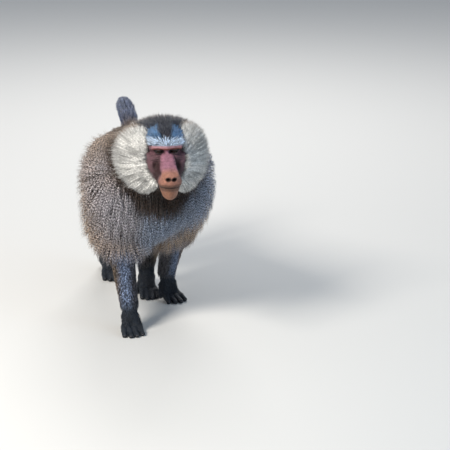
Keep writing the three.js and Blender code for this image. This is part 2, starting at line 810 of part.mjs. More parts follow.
function capeLocks(field) {
  const locks = [];
  for (const [row, c] of CAPE_LINE.entries()) {
    const a = vec(CAPE_LINE[Math.max(row - 1, 0)]);
    const b = vec(CAPE_LINE[Math.min(row + 1, CAPE_LINE.length - 1)]);
    const ring = ringRoots(vec(c), a.sub(b), CAPE_SPACING, field);
    for (let i = 0; i < ring.count; i++) {
      let want = (ring.round * (i + (row % 2 ? 0.5 : 0) + 0.25)) / ring.count;
      let at = 0;
      while (want > ring.lengths[at % 48]) want -= ring.lengths[at++ % 48];
      const start = ring.cast((2 * Math.PI * (at + want / ring.lengths[at % 48])) / 48);
      const deep = capeDepth(start.x, start.y, start.z) * ramp(140, 60, start.y);
      if (deep < 12) continue;
      const size = {
        ...CAPE_LOCK,
        length: CAPE_LOCK.length * vary(0.15) * mix(0.75, 1, Math.min(1, deep / 60)),
        width: CAPE_LOCK.width * vary(0.12),
        lift: (1 - CORE_SHARE) * deep * vary(0.1),
      };
      const swing = 0.25 * (vary(1) - 1);
      const lie = (p) => capeLie(p).applyAxisAngle(new THREE.Vector3(1, 0, 0), 0.2 * swing)
        .add(new THREE.Vector3(swing, 0, 0));
      locks.push(lyingLock(start, lie, size, field));
    }
  }
  return locks;
}

// Whiskers: three fans on each cheek, flat to the front, bending back towards their tips
const WHISKER = { length: 84, width: 38, thickness: 9, fans: 3, count: 8 };

function whiskerLocks(side) {
  const locks = [];
  const place = (x, f, h) => vec(fromHead([side * x, f, h]));
  const aim = (x, f, h) => place(x, f, h).sub(place(0, 0, 0)).normalize();
  for (let fan = 0; fan < WHISKER.fans; fan++)
    for (let i = 0; i < WHISKER.count; i++) {
      const turn = THREE.MathUtils.degToRad(mix(-84, 80, (i + (fan % 2 ? 0.5 : 0)) / (WHISKER.count - 0.5)));
      const c = Math.cos(turn);
      const s = Math.sin(turn);
      const length = WHISKER.length * vary(0.1) * (1 - 0.06 * fan);
      const p = place(60 + 14 * c, -42 - 15 * fan, -46 + 46 * s);
      const path = [];
      const normals = [];
      for (let n = 0; n < 4; n++) {
        const t = n / 3;
        path.push(p.clone());
        normals.push(aim(0.3 * c, 0.95, 0.3 * s));
        const back = mix(0.05, -0.75, t) - 0.12 * fan;
        p.addScaledVector(aim(c, back, s - 0.25 * t), length / 3);
      }
      locks.push({ path, normals, width: WHISKER.width * vary(0.12), thickness: WHISKER.thickness });
    }
  return locks;
}

// Crown: short tufts lying back over the top of the head
const CROWN_ROWS = [
  { forward: -22, across: [-26, 0, 26] },
  { forward: -48, across: [-44, -15, 15, 44] },
  { forward: -76, across: [-50, -24, 4, 30, 52] },
];
const CROWN_LOCK = { length: 52, width: 30, thickness: 10, sink: 6, lift: 17, stations: 4 };

function crownLocks(field) {
  return CROWN_ROWS.flatMap(({ forward, across }) =>
    across.map((x) => {
      const start = vec(fromHead([x, forward, 60]));
      const lie = () => vec(fromHead([0.35 * Math.sign(x), -1, 0.1])).sub(vec(NASION));
      return lyingLock(start, lie, { ...CROWN_LOCK, length: CROWN_LOCK.length * vary(0.15) }, field);
    }),
  );
}

// Tail tuft
const TUFT_LOCK = { length: 62, width: 20, thickness: 8, sink: 5, lift: 9, stations: 4 };

function tuftLocks(field) {
  const [x, y, z] = TAIL_PATH[TAIL_PATH.length - 1];
  return Array.from({ length: 7 }, (_, i) => {
    const turn = (2 * Math.PI * i) / 7;
    const start = new THREE.Vector3(x + 21 * Math.cos(turn), y + 21 * Math.sin(turn), z + 22 * vary(0.6));
    return lyingLock(start, () => new THREE.Vector3(0, -0.1, -1), TUFT_LOCK, field);
  });
}

const LOOKS = {
  cape: new THREE.MeshStandardMaterial({ color: 0x8d867c, roughness: 0.95 }),
  whisker: new THREE.MeshStandardMaterial({ color: 0xc9c5b8, roughness: 0.95 }),
  coat: new THREE.MeshStandardMaterial({ color: 0x7a6c5a, roughness: 0.95 }),
  face: new THREE.MeshStandardMaterial({ color: 0xb06f66, roughness: 0.6 }),
  hand: new THREE.MeshStandardMaterial({ color: 0x2c2828, roughness: 0.7 }),
  rump: new THREE.MeshStandardMaterial({ color: 0xd08a86, roughness: 0.55 }),
  eye: new THREE.MeshStandardMaterial({ color: 0x3a2412, roughness: 0.1 }),
};

const root = new THREE.Group();

// A node of flesh: its part of the coat's surface, simplified, then cut by its planes
function flesh(field, [low, high], cell, triangles, planes) {
  const made = solidOf(geometryOf(simplified(surfaceOf(field, low, high, cell), triangles)));
  return largest(made.intersect(region(planes, GAP / 2)));
}

const nodes = new Map();
const add = (name, look, solid, locks = []) => nodes.set(name, { look, solid, locks });
const FLOOR = beyond({ point: [0, 0, FLOOR_FLAT], normal: [0, 0, 1] });
const around = (points, margin) => [
  [0, 1, 2].map((i) => Math.min(...points.map((p) => p[i])) - margin),
  [0, 1, 2].map((i) => Math.max(...points.map((p) => p[i])) + margin),
];

// Trunk and neck, less the cells the limbs stand in
const armCells = Object.values(ARMS).map(({ side }) => region([armCut(side), ARM_BACK, ARM_TOP], -GAP / 2));
const thighCells = Object.values(LEGS).map(({ side }) =>
  region([thighCut(side), THIGH_FRONT, THIGH_TOP], -GAP / 2),
);
const forward = coatField(UPPER_ARMS);
const rearward = coatField(THIGHS);
const without = (solid, cells) => largest(cells.reduce((a, b) => a.subtract(b), solid));

add("neck", "cape", without(
  flesh(forward, [[-150, -360, 400], [150, -90, 680]], 8, 420, [NECK_CUT, flipped(HEAD_CUT)]),
  armCells,
));
add("chest", "cape", without(
  flesh(forward, [[-190, -300, 230], [190, 110, 600]], 10, 560, [flipped(NECK_CUT), flipped(WAIST_CUT)]),
  [...armCells, ...thighCells],
));
add("loin", "coat", without(
  flesh(rearward, [[-150, 60, 280], [150, 210, 560]], 9, 260, [WAIST_CUT, flipped(RUMP_CUT)]),
  thighCells,
));
const [TAIL_ROOT, TAIL_TOP, TAIL_LOW] = TAIL_CUTS;
const withTail = (x, y, z) => softMin(rearward(x, y, z), tailField(x, y, z), 24);
add("rump", "coat", without(
  flesh(withTail, [[-150, 160, 280], [150, 420, 580]], 9, 420, [RUMP_CUT, flipped(TAIL_ROOT)]),
  thighCells,
));
const tailBox = around(TAIL_PATH, 40);
add("tail_base", "coat", flesh(tailField, tailBox, 6, 110, [TAIL_ROOT, flipped(TAIL_TOP)]));
add("tail_middle", "coat", flesh(tailField, tailBox, 6, 130, [TAIL_TOP, flipped(TAIL_LOW)]));
const HANGING = { point: [0, 430, 0], normal: [0, 1, 0] };
add("tail_end", "coat", flesh(tailField, tailBox, 6, 130, [TAIL_LOW, HANGING]));

// Limbs
for (const [name, arm] of Object.entries(ARMS)) {
  const { side, shoulder, elbow, wrist } = arm;
  const planes = armPlanes(arm);
  const whole = coatField([armForms(arm)]);
  const alone = coatField([armForms(arm)], false);
  const inner = [side * 20, -260, 230];
  const outer = [side * 220, 60, 540];
  add(`upper_arm_${name}`, "cape", flesh(whole, around([inner, outer], 8), 9, 400, planes.upper));
  add(`forearm_${name}`, "coat", flesh(alone, around([elbow, wrist], 64), 6, 240, planes.lower));
  const palm = [wrist[0], wrist[1] - 50, 40];
  add(`hand_${name}`, "hand", flesh(alone, around([wrist, palm], 56), 3.5, 400, planes.end).intersect(FLOOR));
}
for (const [name, leg] of Object.entries(LEGS)) {
  const { side, hip, knee, ankle } = leg;
  const planes = legPlanes(leg);
  const whole = coatField([legForms(leg)]);
  const alone = coatField([legForms(leg)], false);
  const inner = [side * 16, 50, 190];
  const outer = [side * 150, 390, 500];
  add(`thigh_${name}`, "coat", flesh(whole, around([inner, outer], 8), 8, 340, planes.upper));
  add(`shank_${name}`, "coat", flesh(alone, around([knee, ankle], 60), 6, 220, planes.lower));
  const sole = [ankle[0], ankle[1] - 94, 40];
  add(`foot_${name}`, "hand", flesh(alone, around([ankle, sole], 62), 3.5, 420, planes.end).intersect(FLOOR));
}

// Head, with its eyes and ears
const headTurn = new THREE.Matrix4().makeBasis(vec(headLeft), vec(headForward), vec(headUp));
headTurn.setPosition(...NASION);
const inHead = (geometry) => solidOf(geometry.applyMatrix4(headTurn));
const EYE_BACK = 4;
function eyeSolid(side, grow) {
  const [x, f, h] = EYE;
  const whole = new THREE.IcosahedronGeometry(EYE_RADIUS + grow, 2).translate(side * x, f, h);
  const rear = new THREE.BoxGeometry(60, 60, 60).translate(side * x, f - EYE_BACK - 30 - grow, h);
  return inHead(whole).subtract(inHead(rear));
}

function earSolid(side, grow) {
  const turn = new THREE.Matrix4().makeBasis(
    new THREE.Vector3(side * 0.5, 0.85, 0.1).normalize(),
    new THREE.Vector3(side * 0.86, -0.5, 0.06).normalize(),
    new THREE.Vector3(0, 0, 1),
  );
  const frame = (g) => inHead(g.applyMatrix4(turn).translate(side * 76, -86, 6));
  const outer = new THREE.IcosahedronGeometry(1, 2).scale(14 + grow, 19 + grow, 27 + grow);
  const inner = new THREE.IcosahedronGeometry(1, 1).scale(12 - grow, 16 - grow, 24 - grow).translate(4, 0, 1);
  const front = new THREE.BoxGeometry(60, 80, 80).translate(34 + grow, 0, 0);
  return frame(outer).subtract(frame(inner)).subtract(frame(front));
}

let head = flesh(headCoatField, [[-140, -510, 440], [140, -250, 730]], 3, 2050, [HEAD_CUT]);
for (const [name, side] of [["right", -1], ["left", 1]]) {
  head = head.subtract(eyeSolid(side, GAP));
  add(`eye_${name}`, "eye", eyeSolid(side, 0));
  head = head.subtract(earSolid(side, GAP));
  add(`ear_${name}`, "coat", earSolid(side, 0));
}
add("head", "face", head);

// Bare pads it sits on, let into the rump and the thighs
const PAD_AT = [38, 352, 388];
const padSolid = (side, grow) =>
  solidOf(
    new THREE.IcosahedronGeometry(1, 1)
      .scale(25 + grow, 17 + grow, 34 + grow)
      .rotateX(-0.25)
      .rotateZ(-side * 0.35)
      .translate(side * PAD_AT[0], PAD_AT[1], PAD_AT[2]),
  );
for (const [name, side] of [["right", -1], ["left", 1]]) {
  for (const node of ["rump", `thigh_${name}`]) {
    nodes.get(node).solid = nodes.get(node).solid.subtract(padSolid(side, GAP));
  }
  add(`seat_pad_${name}`, "rump", padSolid(side, 0));
}

// Each lock belongs to the node its root is in
const NAPE_Z = 590;
const behind = ({ point, normal }, p) => p.clone().sub(vec(point)).dot(vec(normal)) < 0;
function ownerOf(p) {
  if (!behind(HEAD_CUT, p)) return p.z > NAPE_Z ? "head" : null;
  for (const [name, arm] of Object.entries(ARMS)) {
    const planes = [armCut(arm.side), ARM_BACK, ARM_TOP];
    if (planes.some((plane) => behind(plane, p))) continue;
    return behind(armPlanes(arm).lower[0], p) ? `upper_arm_${name}` : null;
  }
  if (p.y > WAIST_CUT.point[1]) return p.y < RUMP_CUT.point[1] ? "loin" : null;
  return behind(NECK_CUT, p) ? "chest" : "neck";
}

const bodyCoat = coatField(UPPER_ARMS);
for (const lock of capeLocks(bodyCoat)) {
  const owner = ownerOf(lock.path[0]);
  if (owner) nodes.get(owner).locks.push(lock);
}
nodes.get("head").locks.push(...whiskerLocks(-1), ...whiskerLocks(1), ...crownLocks(headCoatField));
nodes.get("tail_end").locks.push(...tuftLocks(tailField));

// Where locks of two nodes cross, the first in this list keeps its shape
const LOCK_ORDER = ["head", "neck", "upper_arm_right", "upper_arm_left", "chest", "loin", "tail_end"];
const union = (solids) => solids.reduce((a, b) => a.add(b));
const tufts = LOCK_ORDER.map((name) => nodes.get(name).locks.map(lockSolid));
const room = LOCK_ORDER.map((name) => union(nodes.get(name).locks.map(lockRoom)));
const plain = new Map([...nodes].map(([name, { solid }]) => [name, solid]));
for (const [name, solid] of plain) {
  const rank = LOCK_ORDER.indexOf(name);
  let flesh = solid;
  room.forEach((other, i) => {
    if (i !== rank) flesh = flesh.subtract(other);
  });
  let made = largest(flesh);
  if (rank >= 0) {
    let hair = union(tufts[rank]);
    for (let i = 0; i < rank; i++) hair = hair.subtract(room[i]);
    for (const fixed of ["ear_right", "ear_left"]) {
      if (name === "head") hair = hair.subtract(earSolid(fixed.endsWith("left") ? 1 : -1, GAP));
    }
    made = largest(made.add(hair));
  }
  nodes.get(name).solid = made;
}

for (const [name, { look, solid }] of nodes) root.add(meshOf(name, solid, look));

// The frame's origin is the middle of the footprint, on the floor
const box = new THREE.Box3().setFromObject(root);
const middle = box.getCenter(new THREE.Vector3());
root.position.set(-middle.x, -middle.y, -box.min.z);

export default root;
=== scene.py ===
# Looks of a male hamadryas baboon, life size, walking towards the viewer.
# Shapes are worked out in millimetres in the design's own frame, then written in metres in the row frame.
# The animal looks along -Y and its left side is +X.
import math
from collections import namedtuple

import bpy
import numpy as np
from mathutils import Matrix, Vector


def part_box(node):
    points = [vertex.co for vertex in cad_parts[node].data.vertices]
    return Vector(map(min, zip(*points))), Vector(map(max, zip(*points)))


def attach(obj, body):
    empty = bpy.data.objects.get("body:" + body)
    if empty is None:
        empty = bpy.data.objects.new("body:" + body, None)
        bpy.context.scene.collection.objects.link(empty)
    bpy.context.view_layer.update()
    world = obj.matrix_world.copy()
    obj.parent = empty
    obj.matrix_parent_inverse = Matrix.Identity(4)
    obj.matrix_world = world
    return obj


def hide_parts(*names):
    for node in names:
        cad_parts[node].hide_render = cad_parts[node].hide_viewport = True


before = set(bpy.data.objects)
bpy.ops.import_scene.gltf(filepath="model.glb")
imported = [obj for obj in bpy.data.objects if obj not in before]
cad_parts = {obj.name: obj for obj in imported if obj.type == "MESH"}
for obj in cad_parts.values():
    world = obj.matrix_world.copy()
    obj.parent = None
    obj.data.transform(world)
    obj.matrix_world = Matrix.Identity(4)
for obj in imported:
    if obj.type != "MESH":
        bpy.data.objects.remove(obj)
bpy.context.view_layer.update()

# Where the design's frame lies in the row frame, from the left seat pad
PAD_AT = np.array([38.0, 352.0, 388.0])
PAD_LOW, PAD_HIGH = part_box("seat_pad_left")
ROW = (np.array(PAD_LOW) + np.array(PAD_HIGH)) / 2 - PAD_AT / 1000


def to_row(points):
    return np.asarray(points) / 1000 + ROW


def unit(vectors):
    return vectors / np.maximum(np.linalg.norm(vectors, axis=-1, keepdims=True), 1e-9)


# Driving dimensions, in millimetres, as in the solids
SHOULDER_Z = 470
HIP = (62, 262, 415)
WRIST_Z = 90
ANKLE_Z = 80
NASION = np.array([-1.0, -380.0, 613.0])
HEAD_YAW = math.radians(5)
HEAD_PITCH = math.radians(-2)
EYE = (22, -11, -4)
EYE_RADIUS = 11.5
SOLE_Z = 1.2
CAPE_DEPTH_TOP = 34
CAPE_DEPTH_SIDE = 72

# Limbs by side, -1 for the right and 1 for the left, with the turn of the hand or foot in degrees
ARMS = {
    -1: dict(top=(-99, -140, SHOULDER_Z), bend=(-102, -118, 292), end=(-90, -222, WRIST_Z), turn=0),
    1: dict(top=(85, -140, SHOULDER_Z), bend=(98, -62, 290), end=(88, 66, WRIST_Z), turn=16),
}
LEGS = {
    -1: dict(top=(-HIP[0], *HIP[1:]), bend=(-70, 258, 232), end=(-40, 392, ANKLE_Z), turn=-4),
    1: dict(top=HIP, bend=(84, 114, 284), end=(45, 180, ANKLE_Z), turn=-8),
}
TAIL_RADII = [25, 22, 19, 17, 15, 13, 12, 12, 14]
TAIL_PATH = np.array([
    [36, 300, 466], [25, 345, 512], [24, 385, 543], [22, 415, 554], [34, 445, 536],
    [50, 464, 490], [56, 468, 410], [58, 462, 325], [56, 450, 250],
], float)


# Small helpers on arrays
def ramp(a, b, v):
    """0 up to a, 1 from b on, and smooth between."""
    t = np.clip((v - a) / (b - a), 0, 1)
    return t * t * (3 - 2 * t)


def fade(a, b, v):
    """1 up to a, 0 from b on, and smooth between."""
    return 1 - ramp(a, b, v)


def columns(*parts):
    return np.stack(parts, axis=1)


def mix(a, b, t):
    return a + (b - a) * t


def soft_min(a, b, k):
    h = np.maximum(k - np.abs(a - b), 0) / k
    return np.minimum(a, b) - h * h * k / 4


def soft_cut(a, b, k):
    return -soft_min(-a, b, k)


# Forms of flesh and bone: the box each lies in, how softly it joins, and the distance to its surface
Form = namedtuple("Form", "low high k distance")


def limb(a, b, ra, rb, k=20):
    a = np.array(a, float)
    b = np.array(b, float)
    d = b - a
    length = d @ d

    def distance(p):
        q = p - a
        t = np.clip((q @ d) / length, 0, 1)
        return np.linalg.norm(q - t[:, None] * d, axis=1) - (ra + t * (rb - ra))

    r = max(ra, rb)
    return Form(np.minimum(a, b) - r, np.maximum(a, b) + r, k, distance)


def oval(centre, radii, k=20):
    c = np.array(centre, float)
    r = np.array(radii, float)

    def distance(p):
        q = (p - c) / r
        k0 = np.linalg.norm(q, axis=1)
        k1 = np.linalg.norm(q / r, axis=1)
        return k0 * (k0 - 1) / np.maximum(k1, 1e-9)

    return Form(c - r, c + r, k, distance)


FAR = 1e3


def joined(forms, p, reach=90):
    """The distance to the forms joined softly, each of which counts only near its box."""
    d = np.full(len(p), FAR)
    for form in forms:
        near = np.all((p > form.low - reach) & (p < form.high + reach), axis=1)
        if near.any():
            d[near] = soft_min(d[near], form.distance(p[near]), form.k)
    return d


# The head's own frame: x to the animal's left, y forward, z up, from the root of the nose
FORWARD = np.array([
    -math.sin(HEAD_YAW) * math.cos(HEAD_PITCH),
    -math.cos(HEAD_YAW) * math.cos(HEAD_PITCH),
    -math.sin(HEAD_PITCH),
])
LEFT = np.array([math.cos(HEAD_YAW), -math.sin(HEAD_YAW), 0])
UP = np.cross(FORWARD, LEFT)
HEAD_AXES = np.stack([LEFT, FORWARD, UP])


def to_head(p):
    return (p - NASION) @ HEAD_AXES.T


def head_place(p):
    """How far the points lie to either side, forward and up in the head's frame."""
    x, f, h = to_head(p).T
    return np.abs(x), f, h


def from_head(p):
    return NASION + np.asarray(p, float) @ HEAD_AXES


# Head, on one side, because it is symmetric
HEAD_FORMS = [
    oval([0, -60, 12], [55, 64, 44], 20),
    oval([0, -84, -14], [58, 46, 50], 20),
    limb([0, 4, 12], [40, -7, 10], 9, 9.5, 6),
    oval([0, -28, 8], [44, 32, 22], 14),
    limb([27, -7, -25], [52, -32, -29], 9, 13, 12),
    limb([52, -32, -29], [58, -78, -22], 13, 14, 12),
    limb([0, -16, -52], [0, 76, -78], 34, 27, 12),
    limb([12, 3, -16], [16, 92, -57], 9.5, 10.5, 8),
    limb([0, 0, -17], [0, 92, -59], 13, 14, 8),
    oval([0, 100, -60], [21, 16, 12], 8),
    oval([0, 84, -79], [32, 28, 20], 9),
    oval([23, 64, -76], [12, 26, 20], 10),
    limb([0, -10, -90], [0, 66, -106], 31, 25, 10),
    oval([0, 76, -98], [26, 25, 12], 8),
    oval([0, 74, -112], [17, 20, 20], 12),
    oval([40, -40, -68], [22, 42, 38], 18),
    limb([0, -40, -84], [0, -112, -50], 38, 58, 24),
]
SOCKET = oval([24, 3, -4], [18, 12, 10], 6)
LID = oval(EYE, [14.2, 14.2, 14.2], 3)
SLIT = oval([22, 5, -4.5], [11.5, 14, 2.5], 1)
FOSSA = oval([34, 32, -44], [9, 40, 15], 10)
NOSTRIL = oval([8.6, 112, -63], [6.6, 10, 5], 2)
CARVING = [(soft_cut, SOCKET), (soft_min, LID), (soft_cut, SLIT), (soft_cut, FOSSA), (soft_cut, NOSTRIL)]
MOUTH_START = 12
MOUTH_DEPTH = 3.5
MOUTH_HALF = 1.5


def mouth_height(forward):
    return -90 + 5 * fade(20, 80, forward)


FOLD_STEP = 6.5
FOLD_SLOPE = 0.3
FOLD_DEPTH = 1.1


def cheek_folds(side, f, h):
    """Folds of skin under the eyes, 1 in their grooves and 0 on their ridges and elsewhere."""
    here = ramp(13, 20, side) * fade(46, 54, side) * ramp(-40, -32, h) * fade(-14, -10, h)
    return here * ramp(-30, -20, f) * (0.5 + 0.5 * np.cos(2 * np.pi * (h + FOLD_SLOPE * side) / FOLD_STEP))


def head_field(p):
    q = to_head(p)
    q[:, 0] = np.abs(q[:, 0])
    d = joined(HEAD_FORMS, q)
    front = q[:, 1] > -30
    q = q[front]
    e = d[front]
    for join, form in CARVING:
        e = join(e, form.distance(q), form.k)
    e = e + FOLD_DEPTH * cheek_folds(*q.T)
    away = np.abs(q[:, 2] - mouth_height(q[:, 1])) - MOUTH_HALF
    groove = np.maximum(np.maximum(away, -(e + MOUTH_DEPTH)), MOUTH_START - q[:, 1])
    d[front] = soft_cut(e, groove, 2)
    return d


TRUNK_FORMS = [
    oval([-8, -50, 412], [107, 172, 122], 40),
    oval([0, -95, 478], [80, 110, 74], 40),
    limb([0, 60, 424], [0, 215, 432], 92, 84, 40),
    oval([0, 268, 426], [90, 92, 84], 40),
    limb([0, -150, 490], from_head([0, -122, -42]), 84, 64, 40),
]


# Fingers and toes spread from the end of the palm or sole, turned about the wrist or ankle
# Their places are across from that joint, forward of it and up from the ground
def placed(part, side):
    origin = part["end"]
    a = math.radians(part["turn"])

    def at(across, forward, z):
        x = side * across
        y = -forward
        return np.array([
            origin[0] + x * math.cos(a) - y * math.sin(a),
            origin[1] + x * math.sin(a) + y * math.cos(a),
            z,
        ])

    return at


DIGIT_Z = 7.5
FINGERS = dict(
    lengths=[68, 78, 80, 70], middle=1.5, steps=(14, 17, 19), root=(24, 21), knuckle=(48, 15), radius=9.5,
)
TOES = dict(
    lengths=[128, 138, 134, 122], middle=1.3, steps=(12, 15, 16), root=(66, 18), knuckle=(98, 16), radius=10,
)


def digit_forms(at, digits):
    forms = []
    steps = digits["steps"]
    for i, length in enumerate(digits["lengths"]):
        s = i - digits["middle"]
        knuckle = at(s * steps[1], *digits["knuckle"])
        forms.append(limb(at(s * steps[0], *digits["root"]), knuckle, digits["radius"], 9, 5))
        forms.append(limb(knuckle, at(s * steps[2], length, DIGIT_Z), 9, 7.5, 3))
    return forms


def hand_forms(arm, side):
    at = placed(arm, side)
    return [
        limb(arm["end"], at(0, 12, 52), 21, 20, 10),
        limb(at(-9, 10, 52), at(-13, 26, 24), 17, 13, 8),
        limb(at(9, 10, 52), at(13, 26, 24), 17, 13, 8),
        limb(at(-20, 2, 46), at(-33, 22, 13), 9, 6.5, 5),
        *digit_forms(at, FINGERS),
    ]


def foot_forms(leg, side):
    at = placed(leg, side)
    return [
        limb(leg["end"], at(0, -14, 30), 20, 22, 14),
        limb(at(0, -30, 24), at(-9, 64, 20), 22, 17, 12),
        limb(at(4, -20, 30), at(10, 70, 18), 21, 15, 12),
        limb(at(0, 4, 60), at(0, 62, 26), 20, 15, 14),
        limb(at(-14, 10, 22), at(-30, 46, 14), 14, 10, 8),
        limb(at(-30, 46, 14), at(-40, 72, 8), 10, 8, 4),
        *digit_forms(at, TOES),
    ]


def joints(part):
    return (np.array(part[name], float) for name in ("top", "bend", "end"))


def arm_forms(side, arm):
    top, bend, end = joints(arm)
    belly = mix(bend, end, 0.3)
    return [
        oval(top + [0, 5, -20], [46, 72, 92], 30),
        limb(top, bend + [0, 0, 10], 46, 35, 24),
        limb(bend, belly, 34, 35, 16),
        limb(belly, end, 35, 23, 16),
        *hand_forms(arm, side),
    ]


def leg_forms(side, leg):
    top, bend, end = joints(leg)
    calf = mix(bend, end, 0.35) + [0, 10, 0]
    return [
        limb(top, bend, 60, 40, 24),
        limb(bend, calf, 38, 34, 16),
        limb(calf, end, 34, 19, 16),
        *foot_forms(leg, side),
    ]


LIMBS = [arm_forms(*arm) for arm in ARMS.items()] + [leg_forms(*leg) for leg in LEGS.items()]
TAIL_FORMS = [
    limb(a, b, ra, rb, 10)
    for a, b, ra, rb in zip(TAIL_PATH[:-1], TAIL_PATH[1:], TAIL_RADII[:-1], TAIL_RADII[1:])
]

NECK_BLEND = 26
LIMB_BLEND = 34
TAIL_BLEND = 24


def skin_field(p):
    core = joined(TRUNK_FORMS, p)
    front = (p[:, 1] < -200) & (p[:, 2] > 420)
    if front.any():
        core[front] = soft_min(core[front], head_field(p[front]), NECK_BLEND)
    d = core.copy()
    for forms in LIMBS:
        d = np.minimum(d, soft_min(core, joined(forms, p), LIMB_BLEND))
    return soft_min(d, joined(TAIL_FORMS, p), TAIL_BLEND)


def gradient(field, p, step):
    g = np.empty_like(p)
    for axis in range(3):
        move = np.zeros(3)
        move[axis] = step
        g[:, axis] = (field(p + move) - field(p - move)) / (2 * step)
    return g


def projected(p, field, step, passes=2):
    for _ in range(passes):
        g = gradient(field, p, step)
        size = np.maximum((g * g).sum(1), 0.2)
        p = p - g * np.clip(field(p) / size, -step * 2, step * 2)[:, None]
    return p


# The field on a grid, which guides the hair, and a finer one near the skin, which the skin is made from
GRID_LOW = np.array([-260.0, -560.0, -24.0])
GRID_HIGH = np.array([260.0, 560.0, 744.0])
COARSE = 8.0


def grid_points(low, n, cell):
    axes = [low[i] + cell * np.arange(n[i]) for i in range(3)]
    return np.stack(np.meshgrid(*axes, indexing="ij"), axis=-1).reshape(-1, 3)


COARSE_N = np.round((GRID_HIGH - GRID_LOW) / COARSE).astype(int) + 1
GUIDE = skin_field(grid_points(GRID_LOW, COARSE_N, COARSE)).reshape(COARSE_N)


def sampled(values, low, cell, p):
    q = (p - low) / cell
    n = np.array(values.shape)
    base = np.clip(np.floor(q).astype(int), 0, n - 2)
    f = np.clip(q - base, 0, 1)
    flat = values.ravel()
    total = np.zeros(len(p))
    for corner in range(8):
        bit = np.array([corner & 1, corner >> 1 & 1, corner >> 2])
        at = base + bit
        weight = np.prod(np.where(bit, f, 1 - f), axis=1)
        total += weight * flat[(at[:, 0] * n[1] + at[:, 1]) * n[2] + at[:, 2]]
    return total


def smoothed(values, passes):
    """The values blurred a little, so that hair bridges the creases of the skin."""
    for _ in range(passes):
        for axis in range(3):
            rows = np.moveaxis(values, axis, 0)
            padded = np.pad(rows, ((1, 1), (0, 0), (0, 0)), "edge")
            values = np.moveaxis((padded[:-2] + 2 * rows + padded[2:]) / 4, 0, axis)
    return np.ascontiguousarray(values)


HAIR_GUIDE = smoothed(np.minimum(GUIDE, 150), 6)


def guide(p):
    return sampled(HAIR_GUIDE, GRID_LOW, COARSE, p)


CORNERS = np.array([[c & 1, c >> 1 & 1, c >> 2] for c in range(8)])
EDGES = [(a, a | bit) for a in range(8) for bit in (1, 2, 4) if not a & bit]


def pinched(mask):
    """True where a pattern of inside corners would pinch the surface."""
    inside = [mask >> c & 1 for c in range(8)]
    group = list(range(8))
    for _ in range(8):
        for a, b in EDGES:
            if inside[a] == inside[b]:
                group[a] = group[b] = min(group[a], group[b])
    for u in (1, 2, 4):
        for v in (1, 2, 4):
            for c in range(8):
                same = inside[c] == inside[c ^ u ^ v] and inside[c ^ u] == inside[c ^ v]
                if u != v and same and inside[c ^ u] != inside[c]:
                    return True
    return len(set(group)) > 2


PINCHES = np.array([pinched(mask) for mask in range(256)])


def surface_of(values, low, cell):
    """A closed surface of triangles where the values are zero."""
    n = np.array(values.shape)
    flat = values.ravel()
    steps = CORNERS @ np.array([n[1] * n[2], n[2], 1])
    for turn in range(30):
        inside = (flat < 0).reshape(n)
        some = np.zeros(n - 1, bool)
        every = np.ones(n - 1, bool)
        for a, b, c in CORNERS:
            part = inside[a:n[0] - 1 + a, b:n[1] - 1 + b, c:n[2] - 1 + c]
            some |= part
            every &= part
        cells = np.argwhere(some & ~every)
        start = (cells[:, 0] * n[1] + cells[:, 1]) * n[2] + cells[:, 2]
        at = start[:, None] + steps
        corner = flat[at]
        mask = ((corner < 0) << np.arange(8)).sum(1)
        bad = PINCHES[mask]
        if not bad.any():
            break
        least = np.argmin(np.abs(corner[bad]), axis=1)
        where = np.unique(at[bad][np.arange(bad.sum()), least])
        flat[where] = np.where(flat[where] < 0, 0.01 + turn * 0.1, -0.01 - turn * 0.1)
    total = np.zeros((len(cells), 3))
    count = np.zeros(len(cells))
    for a, b in EDGES:
        crossing = (corner[:, a] < 0) != (corner[:, b] < 0)
        t = np.where(crossing, corner[:, a] / np.where(crossing, corner[:, a] - corner[:, b], 1), 0)
        total += crossing[:, None] * (CORNERS[a] + t[:, None] * (CORNERS[b] - CORNERS[a]))
        count += crossing
    points = low + (cells + total / count[:, None]) * cell
    index = np.full(len(flat), -1)
    index[start] = np.arange(len(cells))
    triangles = []
    inside = (flat < 0).reshape(n)
    stride = np.array([n[1] * n[2], n[2], 1])
    for axis, (p, q) in enumerate([(1, 2), (2, 0), (0, 1)]):
        near = np.take(inside, range(n[axis] - 1), axis=axis)
        far = np.take(inside, range(1, n[axis]), axis=axis)
        edge = np.argwhere(near != far)
        here = inside[tuple(edge.T)]
        at = edge @ stride
        quad = index[at[:, None] - [0, stride[p], stride[p] + stride[q], stride[q]]]
        quad[~here] = quad[~here][:, ::-1]
        a, b, c, d = (points[quad[:, i]] for i in range(4))
        first = np.linalg.norm(a - c, axis=1) < np.linalg.norm(b - d, axis=1)
        triangles += [quad[first][:, pick] for pick in ([0, 1, 2], [0, 2, 3])]
        triangles += [quad[~first][:, pick] for pick in ([0, 1, 3], [1, 2, 3])]
    return points, np.concatenate(triangles)


